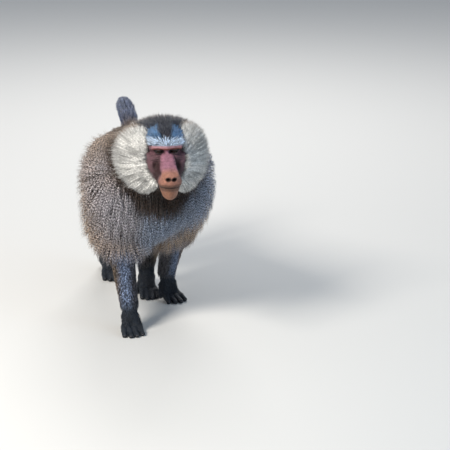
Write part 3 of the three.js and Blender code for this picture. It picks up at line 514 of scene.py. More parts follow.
def refined(points, triangles, wanted):
    """Splits the edges of the wanted triangles in half, and their neighbours' faces to suit."""
    ends = np.sort(triangles[:, [[0, 1], [1, 2], [2, 0]]], axis=2).astype(np.int64)
    key = ends[..., 0] * len(points) + ends[..., 1]
    marked = np.unique(key[wanted])
    at = np.minimum(np.searchsorted(marked, key), len(marked) - 1)
    split = marked[at] == key
    middle = len(points) + at
    added = (points[marked // len(points)] + points[marked % len(points)]) / 2
    corners = np.concatenate([triangles, middle], axis=1)
    count = split.sum(1)
    made = [triangles[count == 0]]
    made += [corners[count == 3][:, pick] for pick in ([0, 3, 5], [1, 4, 3], [2, 5, 4], [3, 4, 5])]
    for n in range(3):
        order = [n, (n + 1) % 3, (n + 2) % 3]
        ordered = corners[:, order + [3 + k for k in order]]
        one = ordered[(count == 1) & split[:, n]]
        made += [one[:, pick] for pick in ([0, 3, 2], [3, 1, 2])]
        two = ordered[(count == 2) & ~split[:, n]]
        made += [two[:, pick] for pick in ([0, 1, 4], [0, 4, 5], [5, 4, 2])]
    return np.concatenate([points, added]), np.concatenate(made)


def vertex_normals(points, triangles):
    a, b, c = (points[triangles[:, i]] for i in range(3))
    n = np.cross(b - a, c - a)
    total = np.zeros_like(points)
    for i in range(3):
        for axis in range(3):
            total[:, axis] += np.bincount(triangles[:, i], n[:, axis], len(points))
    return unit(total)


# Where the skin is refined
def in_face(p):
    side, f, h = head_place(p)
    return (f > -40) & (h < 42) & (side < 66) & (p[:, 1] < -300)


def in_features(p):
    side, f, h = head_place(p)
    return (f > -22) & (h < 24) & (h > -132) & (side < 56) & (p[:, 1] < -330)


def in_extremity(p):
    return p[:, 2] < 78


SKIN_BAND = 1.6 * COARSE


def build_skin():
    """The skin from the field on a grid of half the cell, worked out afresh only near the surface."""
    fine_n = 2 * (COARSE_N - 1) + 1
    fine = np.empty(fine_n)
    fine[::2, ::2, ::2] = GUIDE
    fine[1::2, ::2, ::2] = (fine[:-1:2, ::2, ::2] + fine[2::2, ::2, ::2]) / 2
    fine[:, 1::2, ::2] = (fine[:, :-1:2, ::2] + fine[:, 2::2, ::2]) / 2
    fine[:, :, 1::2] = (fine[:, :, :-1:2] + fine[:, :, 2::2]) / 2
    cell = COARSE / 2
    near = np.argwhere(np.abs(fine) < SKIN_BAND)
    fine[tuple(near.T)] = skin_field(GRID_LOW + cell * near)
    points, triangles = surface_of(fine, GRID_LOW, cell)
    points = projected(points, skin_field, 0.8)
    for regions in ((in_face, in_extremity), (in_features,)):
        centre = points[triangles].mean(axis=1)
        wanted = np.any([region(centre) for region in regions], axis=0)
        before = len(points)
        points, triangles = refined(points, triangles, wanted)
        points[before:] = projected(points[before:], skin_field, 0.4)
    points[:, 2] = np.maximum(points[:, 2], SOLE_Z)
    return points, triangles


SKIN_POINTS, SKIN_TRIANGLES = build_skin()
SKIN_NORMALS = vertex_normals(SKIN_POINTS, SKIN_TRIANGLES)


# Where things are on the animal, as shares from 0 to 1
def cape(p):
    _, y, z = p.T
    return fade(40, 150, y) * ramp(215, 290, z) * ramp(-330, -262, y)


WALKING_SWING = 16


def cape_depth(p):
    """How far the cape stands off the skin. It swings out on the right and in on the left."""
    x, y, z = p.T
    lateral = np.minimum(1, np.abs(x) / 110)
    below = fade(330, 430, z)
    front = fade(-215, -130, y) * fade(460, 540, z)
    deep = mix(CAPE_DEPTH_TOP, CAPE_DEPTH_SIDE, np.maximum.reduce([lateral**2, 0.6 * below, 0.8 * front]))
    swing = ramp(60, 110, -x) - 1.3 * ramp(60, 110, x) * below
    deep = mix(deep, 60, fade(-190, -60, y) * ramp(470, 520, z) * (1 - lateral))
    taper = mix(0.4, 1, np.maximum(ramp(250, 400, z), fade(50, 100, np.abs(x))))
    return (deep + WALKING_SWING * swing) * taper


def on_head(p):
    return ramp(-125, -100, head_place(p)[1]) * ramp(410, 440, p[:, 2]) * (p[:, 1] < -200)


def bare_face(p):
    side, f, h = head_place(p)
    edge = mix(37, 57, ramp(-84, -44, h))
    start = mix(-6, -42, ramp(-84, -50, h))
    cheek = ramp(start, start + 14, f) * fade(edge - 4, edge + 4, side)
    return cheek * fade(13, 17, h) * (p[:, 1] < -300)


def tail_share(p):
    return fade(4, 16, joined(TAIL_FORMS, p))


def bare_rump(p):
    x, y, z = p.T
    start = mix(330, 236, ramp(400, 480, z))
    back = ramp(start, start + 16, y) * ramp(318, 345, z) * fade(72, 92, np.abs(x))
    return back * (1 - tail_share(p))


def on_digits(p):
    return fade(36, 62, p[:, 2])


# Colours, as they look in the photograph's light
def colour(r, g, b):
    c = np.array([r, g, b]) / 255
    return np.where(c <= 0.04045, c / 12.92, ((c + 0.055) / 1.055) ** 2.4)


MANTLE = colour(172, 150, 128)
MANTLE_TOP = colour(134, 116, 100)
GOLDEN = colour(176, 134, 80)
CHEST_SIDE = colour(178, 173, 178)
# Painted cool shade, darker and bluer, for the middle and left of the chest
CHEST_SHADE_SIDE = colour(142, 153, 172)
BELLY = colour(50, 42, 38)
# Dark grey-brown of the hindquarters, partly their own colour and partly painted shade; also painted shade
# on the inner forelegs
HIND_WITH_SHADE = colour(50, 43, 40)
FORELEG = colour(126, 142, 172)
FORELEG_EDGE = colour(116, 100, 86)
PAW = colour(42, 50, 62)
TAIL_TONE = colour(92, 102, 128)
CROWN = colour(40, 44, 58)
NAPE = colour(104, 92, 88)
BROW_HAIR = colour(208, 226, 248)
TEMPLE = colour(88, 130, 174)
WHISKER_TONE = colour(227, 226, 223)
WHISKER_BACK = colour(128, 122, 116)
RUFF_EDGE = colour(62, 48, 40)
CHEEK = colour(104, 72, 80)
BRIDGE = colour(150, 102, 118)
# Painted shade for the hollows beside the bridge of the nose
HOLLOW_SHADE = colour(52, 30, 32)
MUZZLE = colour(158, 108, 90)
LIP = colour(102, 68, 54)
CHIN = colour(142, 98, 76)
# Near black, painted shade and shadow on the face
PAINTED_SHADE = colour(16, 10, 10)
# Black, painted shade in the grooves of the cheek folds
GROOVE_SHADE = colour(0, 0, 0)
BROW = colour(178, 130, 138)
BROW_EDGE = colour(132, 70, 44)
BARE_RUMP = colour(206, 134, 138)


def painted(tone, *layers):
    """The tone with the colour of each layer laid over it by the layer's share."""
    for paint, share in layers:
        tone = tone + (paint - tone) * share[:, None]
    return tone


def face_tone(p):
    side, f, h = head_place(p)
    q = columns(side, f, h)
    bridge = mix(12, 20, ramp(-2, 30, f))
    hollow_shade = ramp(18, 26, side) * (1 - 0.7 * ramp(33, 52, side)) * fade(60, 86, f)
    brow = fade(40, 50, side)
    lid_shade = fade(1.5, 5, np.abs(SLIT.distance(q))) * (f > -14)
    mouth_shade = fade(1.2, 3, np.abs(h - mouth_height(f))) * ramp(MOUTH_START, MOUTH_START + 6, f)
    return painted(
        np.tile(CHEEK, (len(p), 1)),
        # painted shade in the hollows beside the bridge of the nose
        (HOLLOW_SHADE, hollow_shade * fade(-44, -16, h + 0.5 * (side - 27))),
        (BRIDGE, fade(bridge, bridge + 6, side) * ramp(-12, 0, f) * ramp(-62, -46, h)),
        (MUZZLE, ramp(66, 100, f)),
        (LIP, fade(-84, -76, h) * ramp(28, 52, f)),
        (CHIN, fade(-106, -98, h) * ramp(30, 50, f)),
        (BROW, ramp(2, 7, h) * brow),
        (BROW_EDGE, 0.8 * ramp(1, 4, h) * fade(6, 10, h) * brow),
        # painted shadow of the brow, a dark band over the eyes
        (PAINTED_SHADE, ramp(-6, -3, h) * fade(0.5, 2.5, h) * ramp(7, 13, side) * fade(36, 44, side)),
        # painted shade on the lids round the eye opening
        (PAINTED_SHADE, 0.95 * lid_shade),
        # painted shade in the nostrils
        (PAINTED_SHADE, 0.9 * fade(0.5, 3.5, NOSTRIL.distance(q))),
        # painted shade in the grooves of the cheek folds
        (GROOVE_SHADE, 0.35 * cheek_folds(side, f, h)),
        # painted shade along the mouth line
        (PAINTED_SHADE, 0.7 * mouth_shade),
    )


def body_tone(p):
    x, y, z = p.T
    side, f, h = head_place(p)
    wide = np.abs(x)
    chest = fade(-210, -110, y) * fade(480, 560, z)
    fore = fade(230, 320, z) * fade(80, 110, y)
    head = on_head(p)
    crown = head * ramp(20, 40, h)
    cheek = mix(26, 46, ramp(-90, -50, h))
    parting = mix(4, 13, ramp(24, 54, h))
    temple = ramp(22, 30, h) * ramp(parting, parting + 6, side) * fade(40, 50, side)
    return painted(
        np.tile(MANTLE, (len(p), 1)),
        (MANTLE_TOP, ramp(440, 540, z)),
        (GOLDEN, ramp(60, 130, -x) * fade(330, 450, z) * ramp(-190, -60, y)),
        (CHEST_SIDE, chest),
        # painted cool shade on the middle and left of the chest
        (CHEST_SHADE_SIDE, chest * ramp(-70, -20, x)),
        (RUFF_EDGE, fade(-240, -200, y) * ramp(420, 458, z) * fade(110, 150, wide)),
        (BELLY, fade(270, 330, z) * ramp(-150, -90, y) * fade(50, 90, wide)),
        # the hindquarters' own grey-brown darkened by painted shade, lighter towards the top
        (HIND_WITH_SHADE, ramp(130, 230, y) * (1 - 0.5 * ramp(400, 500, z))),
        (FORELEG, fore),
        (FORELEG_EDGE, fore * ramp(104, 122, wide)),
        # painted shade on the inner sides of the lower forelegs
        (HIND_WITH_SHADE, 0.9 * fore * fade(78, 100, wide) * fade(260, 300, z)),
        (TAIL_TONE, tail_share(p) * ramp(290, 340, y)),
        (PAW, fade(60, 130, z)),
        (NAPE, crown),
        (CROWN, crown * ramp(-104, -84, f)),
        (WHISKER_TONE, head * ramp(cheek, cheek + 10, side) * fade(20, 44, h)),
        (TEMPLE, head * temple * ramp(-54, -40, f)),
        (BROW_HAIR, head * ramp(11, 15, h) * fade(26, 33, h) * ramp(-40, -20, f) * fade(42, 50, side)),
    )


def agouti(p):
    """How strongly the hairs are banded light and dark."""
    _, y, z = p.T
    amount = mix(0.35, 0.85, cape(p))
    amount = mix(amount, 0.7 * fade(20, 90, y), fade(240, 300, z))
    amount = mix(amount, 0.1, fade(80, 110, z))
    return mix(amount, mix(0.25, 0.1, ramp(50, 60, head_place(p)[0])), on_head(p))


def skin_tone(p):
    side, _, h = head_place(p)
    cheek = on_head(p) * np.maximum(ramp(40, 46, side), fade(4, 12, h)) * fade(30, 44, h)
    tone = painted(body_tone(p) * 0.5, (CHEEK * 0.6, 0.85 * cheek), (BARE_RUMP, bare_rump(p)))
    bare = bare_face(p)
    near = bare > 0
    tone[near] = painted(tone[near], (face_tone(p[near]), bare[near]))
    return tone


# A flat map of the skin: each part of the body is laid out from the six sides it faces
PARTS = 7
SIDES = 6


def part_of(p):
    x, y, z = p.T
    part = np.zeros(len(p), int)
    part[(z < 320) & (y < 90) & (x < 0)] = 1
    part[(z < 320) & (y < 90) & (x >= 0)] = 2
    part[(z < 400) & (y >= 90) & (x < 0)] = 3
    part[(z < 400) & (y >= 90) & (x >= 0)] = 4
    part[(y < -262) & (z > 420)] = 5
    part[tail_share(p) > 0.5] = 6
    return part


def chart_of(p, n):
    """The number of the chart of each point and its place in it, in millimetres."""
    rows = np.arange(len(p))
    axis = np.abs(n).argmax(axis=1)
    flat = columns(np.roll(p, -1, axis=1)[rows, axis], np.roll(p, -2, axis=1)[rows, axis])
    return part_of(p) * SIDES + axis * 2 + (n[rows, axis] > 0), flat


CHART_EDGE = 12.0


def atlas():
    """The low corner, size and place of each chart, packed in rows in a square, and the square's width."""
    chart, flat = chart_of(SKIN_POINTS, SKIN_NORMALS)
    low, size = np.zeros((2, PARTS * SIDES, 2))
    for c in np.unique(chart):
        these = flat[chart == c]
        low[c] = these.min(axis=0) - CHART_EDGE
        size[c] = these.max(axis=0) + CHART_EDGE - low[c]
    order = np.argsort(-size[:, 1])
    for width in range(1200, 6000, 50):
        place = np.zeros_like(low)
        x = y = row = 0.0
        for c in order:
            if x + size[c, 0] > width:
                x, y, row = 0.0, y + row, 0.0
            place[c] = x, y
            x += size[c, 0]
            row = max(row, size[c, 1])
        if y + row <= width:
            break
    return low, size, place, width


CHART_LOW, CHART_SIZE, CHART_PLACE, ATLAS_WIDTH = atlas()


def flat_place(p, n):
    chart, flat = chart_of(p, n)
    inside = np.clip(flat - CHART_LOW[chart], 1, np.maximum(CHART_SIZE[chart] - 1, 1))
    return (CHART_PLACE[chart] + inside) / ATLAS_WIDTH


# Meshes from arrays
def mesh_object(name, points, triangles, material):
    mesh = bpy.data.meshes.new(name)
    mesh.vertices.add(len(points))
    mesh.vertices.foreach_set("co", np.ascontiguousarray(to_row(points), np.float32).ravel())
    mesh.loops.add(triangles.size)
    mesh.loops.foreach_set("vertex_index", np.ascontiguousarray(triangles, np.int32).ravel())
    mesh.polygons.add(len(triangles))
    mesh.polygons.foreach_set("loop_start", np.arange(0, triangles.size, 3, dtype=np.int32))
    mesh.polygons.foreach_set("use_smooth", np.ones(len(triangles), bool))
    mesh.update(calc_edges=True)
    mesh.materials.append(material)
    piece = bpy.data.objects.new(name, mesh)
    bpy.context.scene.collection.objects.link(piece)
    return piece


def give(piece, name, values):
    """An attribute of the points, one number each."""
    attribute = piece.data.attributes.new(name, "FLOAT", "POINT")
    attribute.data.foreach_set("value", np.ascontiguousarray(values, np.float32).ravel())


def give_tone(piece, tone, alpha):
    """The colours of the points, with their alpha."""
    attribute = piece.data.attributes.new("tone", "FLOAT_COLOR", "POINT")
    values = np.concatenate([tone, np.broadcast_to(alpha, len(tone))[:, None]], axis=1)
    attribute.data.foreach_set("color", values.astype(np.float32).ravel())


# Materials
class Nodes:
    """The nodes of a new material, and short ways to add to them."""

    def __init__(self, name):
        self.material = bpy.data.materials.new(name)
        self.material.use_nodes = True
        self.tree = self.material.node_tree
        self.tree.nodes.clear()
        self.shader = self.add("ShaderNodeBsdfPrincipled")
        self.add("ShaderNodeOutputMaterial", Surface=self.shader.outputs["BSDF"])

    def add(self, kind, *values, **options):
        """A new node. Options in small letters are its settings, the rest and the values its inputs."""
        node = self.tree.nodes.new(kind)
        for name in [name for name in options if name.islower()]:
            setattr(node, name, options.pop(name))
        for key, value in [*enumerate(values), *options.items()]:
            self.put(node, key, value)
        return node

    def put(self, node, key, value):
        if isinstance(value, bpy.types.NodeSocket):
            self.tree.links.new(value, node.inputs[key])
        else:
            node.inputs[key].default_value = value

    def attribute(self, name, output="Fac"):
        return self.add("ShaderNodeAttribute", attribute_name=name).outputs[output]

    def math(self, operation, *values):
        return self.add("ShaderNodeMath", *values, operation=operation).outputs[0]

    def span(self, value, low, high, to_low, to_high):
        return self.add("ShaderNodeMapRange", value, low, high, to_low, to_high).outputs[0]

    def mixed(self, mode, amount, a, b):
        node = self.add("ShaderNodeMix", amount, data_type="RGBA", blend_type=mode)
        self.put(node, 6, a)
        self.put(node, 7, b)
        return node.outputs[2]

    def scaled(self, tone, share):
        """The tone times a share, which is a number or a socket."""
        if not isinstance(share, bpy.types.NodeSocket):
            share = (share, share, share, 1)
        return self.mixed("MULTIPLY", 1.0, tone, share)

    def place(self):
        return self.add("ShaderNodeTexCoord").outputs["Object"]

    def noise(self, scale, detail, roughness, vector=None):
        place = vector or self.place()
        node = self.add("ShaderNodeTexNoise", Vector=place, Scale=scale, Detail=detail, Roughness=roughness)
        return node.outputs["Fac"]

    def spots(self, scale, detail, roughness, low, high):
        """Noise spread from a low to a high share."""
        return self.span(self.noise(scale, detail, roughness), 0.3, 0.7, low, high)

    def spotted(self, tone, *spots):
        return self.scaled((*tone, 1), self.spots(*spots))

    def cells(self, scale):
        """How far the edges of a pattern of cells are."""
        node = self.add("ShaderNodeTexVoronoi", Vector=self.place(), Scale=scale, feature="DISTANCE_TO_EDGE")
        return node.outputs["Distance"]

    def bump(self, height, distance, strength):
        node = self.add("ShaderNodeBump", Strength=strength, Distance=distance, Height=height)
        self.put(self.shader, "Normal", node.outputs[0])

    def done(self, tone, **values):
        """The material, with its base colour and other inputs of the shader."""
        self.put(self.shader, "Base Color", tone)
        for name, value in values.items():
            self.put(self.shader, name.replace("_", " "), value)
        return self.material


DARK_BAND = 0.12
PALE_BAND = 1.95
ROOT_SHADE = 0.35
DARKEST_HAIR = 0.5
PALEST_HAIR = 1.42


def hair_material():
    """Hair that is dark at the root and banded along its length as far as the tone's alpha says."""
    n = Nodes("hair")
    tone = n.attribute("tone", "Color")
    chance = n.attribute("chance")
    pace = n.math("MULTIPLY_ADD", chance, 14.0, 44.0)
    phase = n.math("MULTIPLY_ADD", n.attribute("band"), pace, n.math("MULTIPLY", chance, 90.0))
    wave = n.span(n.math("SINE", phase), -0.5, 0.5, 0.0, 1.0)
    banded = n.mixed("MIX", wave, n.scaled(tone, DARK_BAND), n.scaled(tone, PALE_BAND))
    base = n.mixed("MIX", n.attribute("tone", "Alpha"), tone, banded)
    shade = n.span(n.attribute("along"), 0.0, 0.5, ROOT_SHADE, 1.0)
    each = n.span(chance, 0.0, 1.0, DARKEST_HAIR, PALEST_HAIR)
    base = n.scaled(base, n.math("MULTIPLY", shade, each))
    return n.done(base, Roughness=0.62, Specular_IOR_Level=0.25, Sheen_Weight=0.15, Sheen_Roughness=0.4)


def skin_material():
    """Skin with pores and level folds, glossier where it is bare."""
    n = Nodes("skin")
    mottle = n.math("MULTIPLY", n.spots(90.0, 5.0, 0.65, 0.62, 1.3), n.spots(420.0, 3.0, 0.6, 0.9, 1.08))
    flat = n.add("ShaderNodeMapping", Vector=n.place(), Scale=(70.0, 70.0, 330.0)).outputs[0]
    folds = n.noise(1.0, 3.0, 0.55, flat)
    lumps = n.math("MULTIPLY", n.noise(150.0, 4.0, 0.6), 1.6)
    pores = n.math("MULTIPLY", n.cells(900.0), 1.4)
    n.bump(n.math("ADD", pores, n.math("MULTIPLY_ADD", folds, 3.4, lumps)), 0.0011, 0.8)
    gloss = n.span(n.attribute("bare"), 0.0, 1.0, 0.85, 0.48)
    return n.done(n.scaled(n.attribute("tone", "Color"), mottle), Roughness=gloss, Specular_IOR_Level=0.4)


HAIR = hair_material()
SKIN = skin_material()


def finished(piece, slot, *nodes):
    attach(piece, "root")
    if nodes:
        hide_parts(*nodes)
    return piece


def make_skin():
    flesh = [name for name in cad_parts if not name.startswith(("eye", "ear", "seat"))]
    skin = mesh_object("skin", SKIN_POINTS, SKIN_TRIANGLES, SKIN)
    give_tone(skin, skin_tone(SKIN_POINTS), 1.0)
    bare = [region(SKIN_POINTS) for region in (bare_face, bare_rump, on_digits)]
    give(skin, "bare", np.maximum.reduce(bare))
    finished(skin, "face", *flesh)


# Tufts of hair, with their densities to the square centimetre
RANDOM = np.random.default_rng(71)
HAIR_SHARE = 1.0
CAPE_DENSITY = 7.5
CROWN_DENSITY = 12
NAPE_DENSITY = 9


def scattered(density):
    """Roots spread over the skin, so many to the square centimetre as the density says."""
    a, b, c = (SKIN_POINTS[SKIN_TRIANGLES[:, i]] for i in range(3))
    area = np.linalg.norm(np.cross(b - a, c - a), axis=1) / 2
    order = RANDOM.permutation(len(area))
    weight = np.cumsum((area * density((a + b + c) / 3) / 100)[order])
    count = int(weight[-1])
    want = (np.arange(count) + RANDOM.random(count)) * weight[-1] / max(count, 1)
    face = order[np.minimum(np.searchsorted(weight, want), len(area) - 1)]
    u, v = RANDOM.random((2, count))
    over = u + v > 1
    u[over], v[over] = 1 - u[over], 1 - v[over]
    w = columns(1 - u - v, u, v)[:, :, None]
    corners = SKIN_TRIANGLES[face]
    roots = (SKIN_POINTS[corners] * w).sum(axis=1)
    normals = unit((SKIN_NORMALS[corners] * w).sum(axis=1))
    return roots, normals


def grown(roots, normals, lie, length, depth, stations, sink=2.0, stray=0.18, rise=0.5):
    """Paths of hairs that start in the skin, rise to their depth over it and follow its lie."""
    wander = RANDOM.normal(0, stray, (len(roots), 3))
    path = [roots - sink * normals]
    p = roots.copy()
    base = np.maximum(guide(roots), 0)
    for i in range(1, stations):
        t = i / (stations - 1)
        g = unit(gradient(guide, p, 10.0))
        way = unit(lie(p)) + wander
        way = unit(way - 0.9 * (way * g).sum(axis=1, keepdims=True) * g)
        p = p + way * (length / (stations - 1))[:, None]
        height = base + depth * np.sin(np.pi / 2 * t**rise)
        p = p + g * np.clip(height - guide(p), -30, 30)[:, None]
        path.append(p)
    return np.stack(path, axis=1)


FLATNESS = 0.5
TAPER = 0.55
ROOT_WIDTH = 0.7


def tuft_mesh(path, normals, width):
    """Closed spikes of three sides that follow the paths and taper to a point."""
    count, stations, _ = path.shape
    sections = []
    for i in range(stations - 1):
        along = unit(path[:, i + 1] - path[:, max(i - 1, 0)])
        side = unit(np.cross(along, normals))
        out = np.cross(side, along)
        t = i / (stations - 1)
        half = (width / 2 * (1 - TAPER * t * t))[:, None] * (ROOT_WIDTH if i == 0 else 1)
        for c, s in ((0.0, 1.0), (-1.0, -0.5), (1.0, -0.5)):
            sections.append(path[:, i] + half * (c * side + FLATNESS * s * out))
    sections.append(path[:, -1])
    corners = 3 * (stations - 1)
    size = corners + 1
    faces = [(0, 2, 1)]
    for i in range(stations - 2):
        for j in range(3):
            a, b = 3 * i + j, 3 * i + (j + 1) % 3
            faces += [(a, b, b + 3), (a, b + 3, a + 3)]
    last = 3 * (stations - 2)
    faces += [(last + j, last + (j + 1) % 3, corners) for j in range(3)]
    points = np.stack(sections, axis=1).reshape(-1, 3)
    triangles = (np.arange(count)[:, None, None] * size + np.array(faces)).reshape(-1, 3)
    along = np.append(np.repeat(np.arange(stations - 1), 3), stations - 1) / (stations - 1)
    across = np.append(np.tile([0.5, 0.0, 1.0], stations - 1), 0.5)
    return points, triangles, along, across


PATCH = 0.003
MOST_TRIANGLES = 190000
CLUMP = 6.5
BAND_UNIT = 92
HASH = (12.9898, 78.233, 37.719)


def scrambled(number):
    """A share from 0 to 1 that looks random and is the same for the same number."""
    return (np.sin(number) * 43758.5453) % 1


def clumps(roots):
    """A share from 0 to 1 that neighbouring tufts have in common."""
    return scrambled(np.floor((roots + RANDOM.normal(0, 1.2, roots.shape)) / CLUMP) @ HASH)


def coat(name, slot, roots, normals, path, width, facing=None, tone=None, banding=None):
    """One or more pieces of joined tufts, in the body's own colours unless a tone is given."""
    if tone is None:
        facing, tone, banding = normals, body_tone(roots), agouti(roots)
    points, triangles, along, across = tuft_mesh(path, facing, width)
    size = len(along)
    each = len(triangles) // len(roots)
    pieces = math.ceil(len(triangles) / MOST_TRIANGLES)
    centre = flat_place(roots, normals)
    length = np.linalg.norm(np.diff(path, axis=1), axis=2).sum(axis=1) / BAND_UNIT
    chance = 0.8 * clumps(roots) + 0.2 * RANDOM.random(len(roots))
    bounds = np.linspace(0, len(roots), pieces + 1).astype(int)
    for n, (a, b) in enumerate(zip(bounds[:-1], bounds[1:])):
        faces = triangles[a * each:b * each] - a * size
        title = f"{name}_{n + 1}" if pieces > 1 else name
        piece = mesh_object(title, points[a * size:b * size], faces, HAIR)
        give_tone(piece, np.repeat(tone[a:b], size, axis=0), np.repeat(banding[a:b], size))
        give(piece, "along", np.tile(along, b - a))
        give(piece, "band", np.outer(length[a:b], along))
        give(piece, "chance", np.repeat(chance[a:b], size))
        u = np.repeat(centre[a:b, 0], size) + PATCH * (np.tile(across, b - a) - 0.5)
        v = np.repeat(centre[a:b, 1], size) + PATCH * (np.tile(along, b - a) - 0.5)
        layer = piece.data.uv_layers.new(name="OFBake")
        layer.data.foreach_set("uv", columns(u, v)[faces.ravel()].astype(np.float32).ravel())
        finished(piece, slot)


def cape_lie(p):
    x, y, z = p.T
    front = fade(-215, -150, y) * fade(510, 570, z)
    level = ramp(400, 520, z)
    back = mix(mix(0.5, 1, level), 0, front)
    down = mix(mix(1, 0.25, level), 1, front)
    return columns(0.2 * np.clip(x / 60, -1, 1) * level, back, -down)


def body_lie(p):
    z = p[:, 2]
    trunk = ramp(250, 340, z)
    above_paws = ramp(50, 80, z)
    back = mix(-0.9, mix(0.12, 0.9, trunk), above_paws)
    down = mix(-0.35, mix(-1, -0.5, trunk), above_paws)
    middles = (TAIL_PATH[1:] + TAIL_PATH[:-1]) / 2
    near = ((p[:, None, :] - middles) ** 2).sum(axis=2).argmin(axis=1)
    tailward = unit(np.diff(TAIL_PATH, axis=0))[near]
    lie = mix(columns(0 * z, back, down), tailward, tail_share(p)[:, None])
    backward = -FORWARD + 0.35 * np.clip(to_head(p)[:, :1] / 12, -1, 1) * LEFT
    return mix(lie, backward, on_head(p)[:, None])


def grow_cape():
    """The long cape over the shoulders, chest and flanks."""
    roots, normals = scattered(lambda p: CAPE_DENSITY * HAIR_SHARE * (cape(p) * (1 - on_head(p))) ** 0.5)
    share = cape(roots) * (1 - on_head(roots))
    depth = mix(8, cape_depth(roots), share) * (1 - 0.5 * RANDOM.random(len(roots)) ** 1.7)
    under = fade(60, 100, np.abs(roots[:, 0])) * fade(300, 360, roots[:, 2])
    length = mix(28, mix(92, 112, under), share) * RANDOM.uniform(0.7, 1.15, len(roots))
    path = grown(roots, normals, cape_lie, length, depth, 4, stray=0.13)
    coat("cape", "cape", roots, normals, path, RANDOM.uniform(1.8, 3.0, len(roots)))


def short_density(p):
    hair = (1 - cape(p)) * (1 - bare_face(p)) * (1 - bare_rump(p))
    fine = mix(9, 7, ramp(90, 130, p[:, 2])) * mix(1, 2.4, on_head(p))
    return HAIR_SHARE * hair * fine * ramp(12, 30, p[:, 2])


def grow_short_coat():
    """Short coat on the head, the limbs, the hindquarters and the tail."""
    roots, normals = scattered(short_density)
    head = on_head(roots)
    crown = ramp(20, 45, to_head(roots)[:, 2])
    leg = ramp(60, 110, roots[:, 2])
    trunk = ramp(250, 360, roots[:, 2])
    depth = mix(mix(mix(2, 6, leg), 9, trunk), 12, head) * RANDOM.uniform(0.5, 1.1, len(roots))
    length = mix(mix(9, 22, leg), 32, trunk)
    length = mix(length, mix(12, 34, crown), head) * RANDOM.uniform(0.75, 1.15, len(roots))
    path = grown(roots, normals, body_lie, length, depth, 3, sink=1.0)
    width = mix(mix(1.3, 2.4, ramp(50, 110, roots[:, 2])), 1.3, head) * RANDOM.uniform(0.8, 1.2, len(roots))
    coat("short_coat", "coat", roots, normals, path, width)


def crown_density(p):
    _, f, h = head_place(p)
    crown = ramp(30, 50, h) * fade(-50, -30, f)
    behind = fade(-100, -76, f) * ramp(-80, -50, h)
    neck = ramp(-340, -300, p[:, 1]) * fade(-215, -165, p[:, 1]) * ramp(470, 510, p[:, 2])
    head = on_head(p) * np.maximum(crown, behind)
    return HAIR_SHARE * np.maximum(CROWN_DENSITY * head, NAPE_DENSITY * neck)


def crown_lie(p):
    q = to_head(p)
    outward = 0.018 * q[:, :1] * LEFT
    return -mix(1, 0.7, ramp(20, 50, q[:, 2:3])) * FORWARD + 0.5 * UP + outward


def grow_crown():
    """Long hair on the crown and the nape, standing up between the whiskers."""
    roots, normals = scattered(crown_density)
    side, f, _ = head_place(roots)
    back = fade(-74, -42, f)
    wide = ramp(20, 60, side) * back
    nape = fade(-150, -110, f)
    depth = mix(mix(mix(16, 38, back), 64, wide), 66, nape) * (1 - 0.5 * RANDOM.random(len(roots)) ** 1.5)
    length = mix(mix(mix(26, 66, back), 84, wide), 92, nape) * RANDOM.uniform(0.8, 1.1, len(roots))
    path = grown(roots, normals, crown_lie, length, depth, 4, rise=0.8)
    coat("crown", "cape", roots, normals, path, RANDOM.uniform(1.4, 2.3, len(roots)))


# Long hair in fans: it starts along one curve on the skin and ends along another in the air
# The curves are in the head's frame, on one side, the whiskers' from the temple round to the jaw
WHISKERS = dict(
    count=9000,
    start=np.array([
        [38, -42, 30], [45, -40, 8], [52, -30, -16], [50, -22, -40], [42, -12, -64], [32, -2, -84],
        [24, 6, -100],
    ], float),
    end=np.array([
        [38, -44, 42], [52, -48, 60], [80, -52, 66], [106, -58, 58], [128, -62, 38], [143, -64, 6],
        [149, -62, -34], [144, -54, -72], [128, -44, -104], [101, -30, -130], [76, -20, -144],
        [52, -8, -142], [32, 2, -124],
    ], float),
    behind=(84, 84), lift=14, fall=0, bundles=64,
)
CREST = dict(
    count=3600,
    start=np.array([
        [0, -58, 60], [20, -58, 56], [36, -60, 46], [48, -62, 28], [54, -66, 6], [58, -72, -16],
        [60, -78, -44],
    ], float),
    end=np.array([
        [0, -104, 86], [28, -104, 85], [56, -106, 80], [86, -108, 69], [114, -112, 48], [136, -114, 18],
        [144, -114, -20], [134, -112, -64],
    ], float),
    behind=(60, 104), lift=0, fall=46, bundles=40,
)
# The left fans are narrower and the right ones wider by a share, and the right ones' top tips lower
LEAN = 0.04
RIGHT_LOWER = 5


def along_curve(curve, share):
    stops = np.linspace(0, 1, len(curve))
    return columns(*(np.interp(share, stops, column) for column in curve.T))


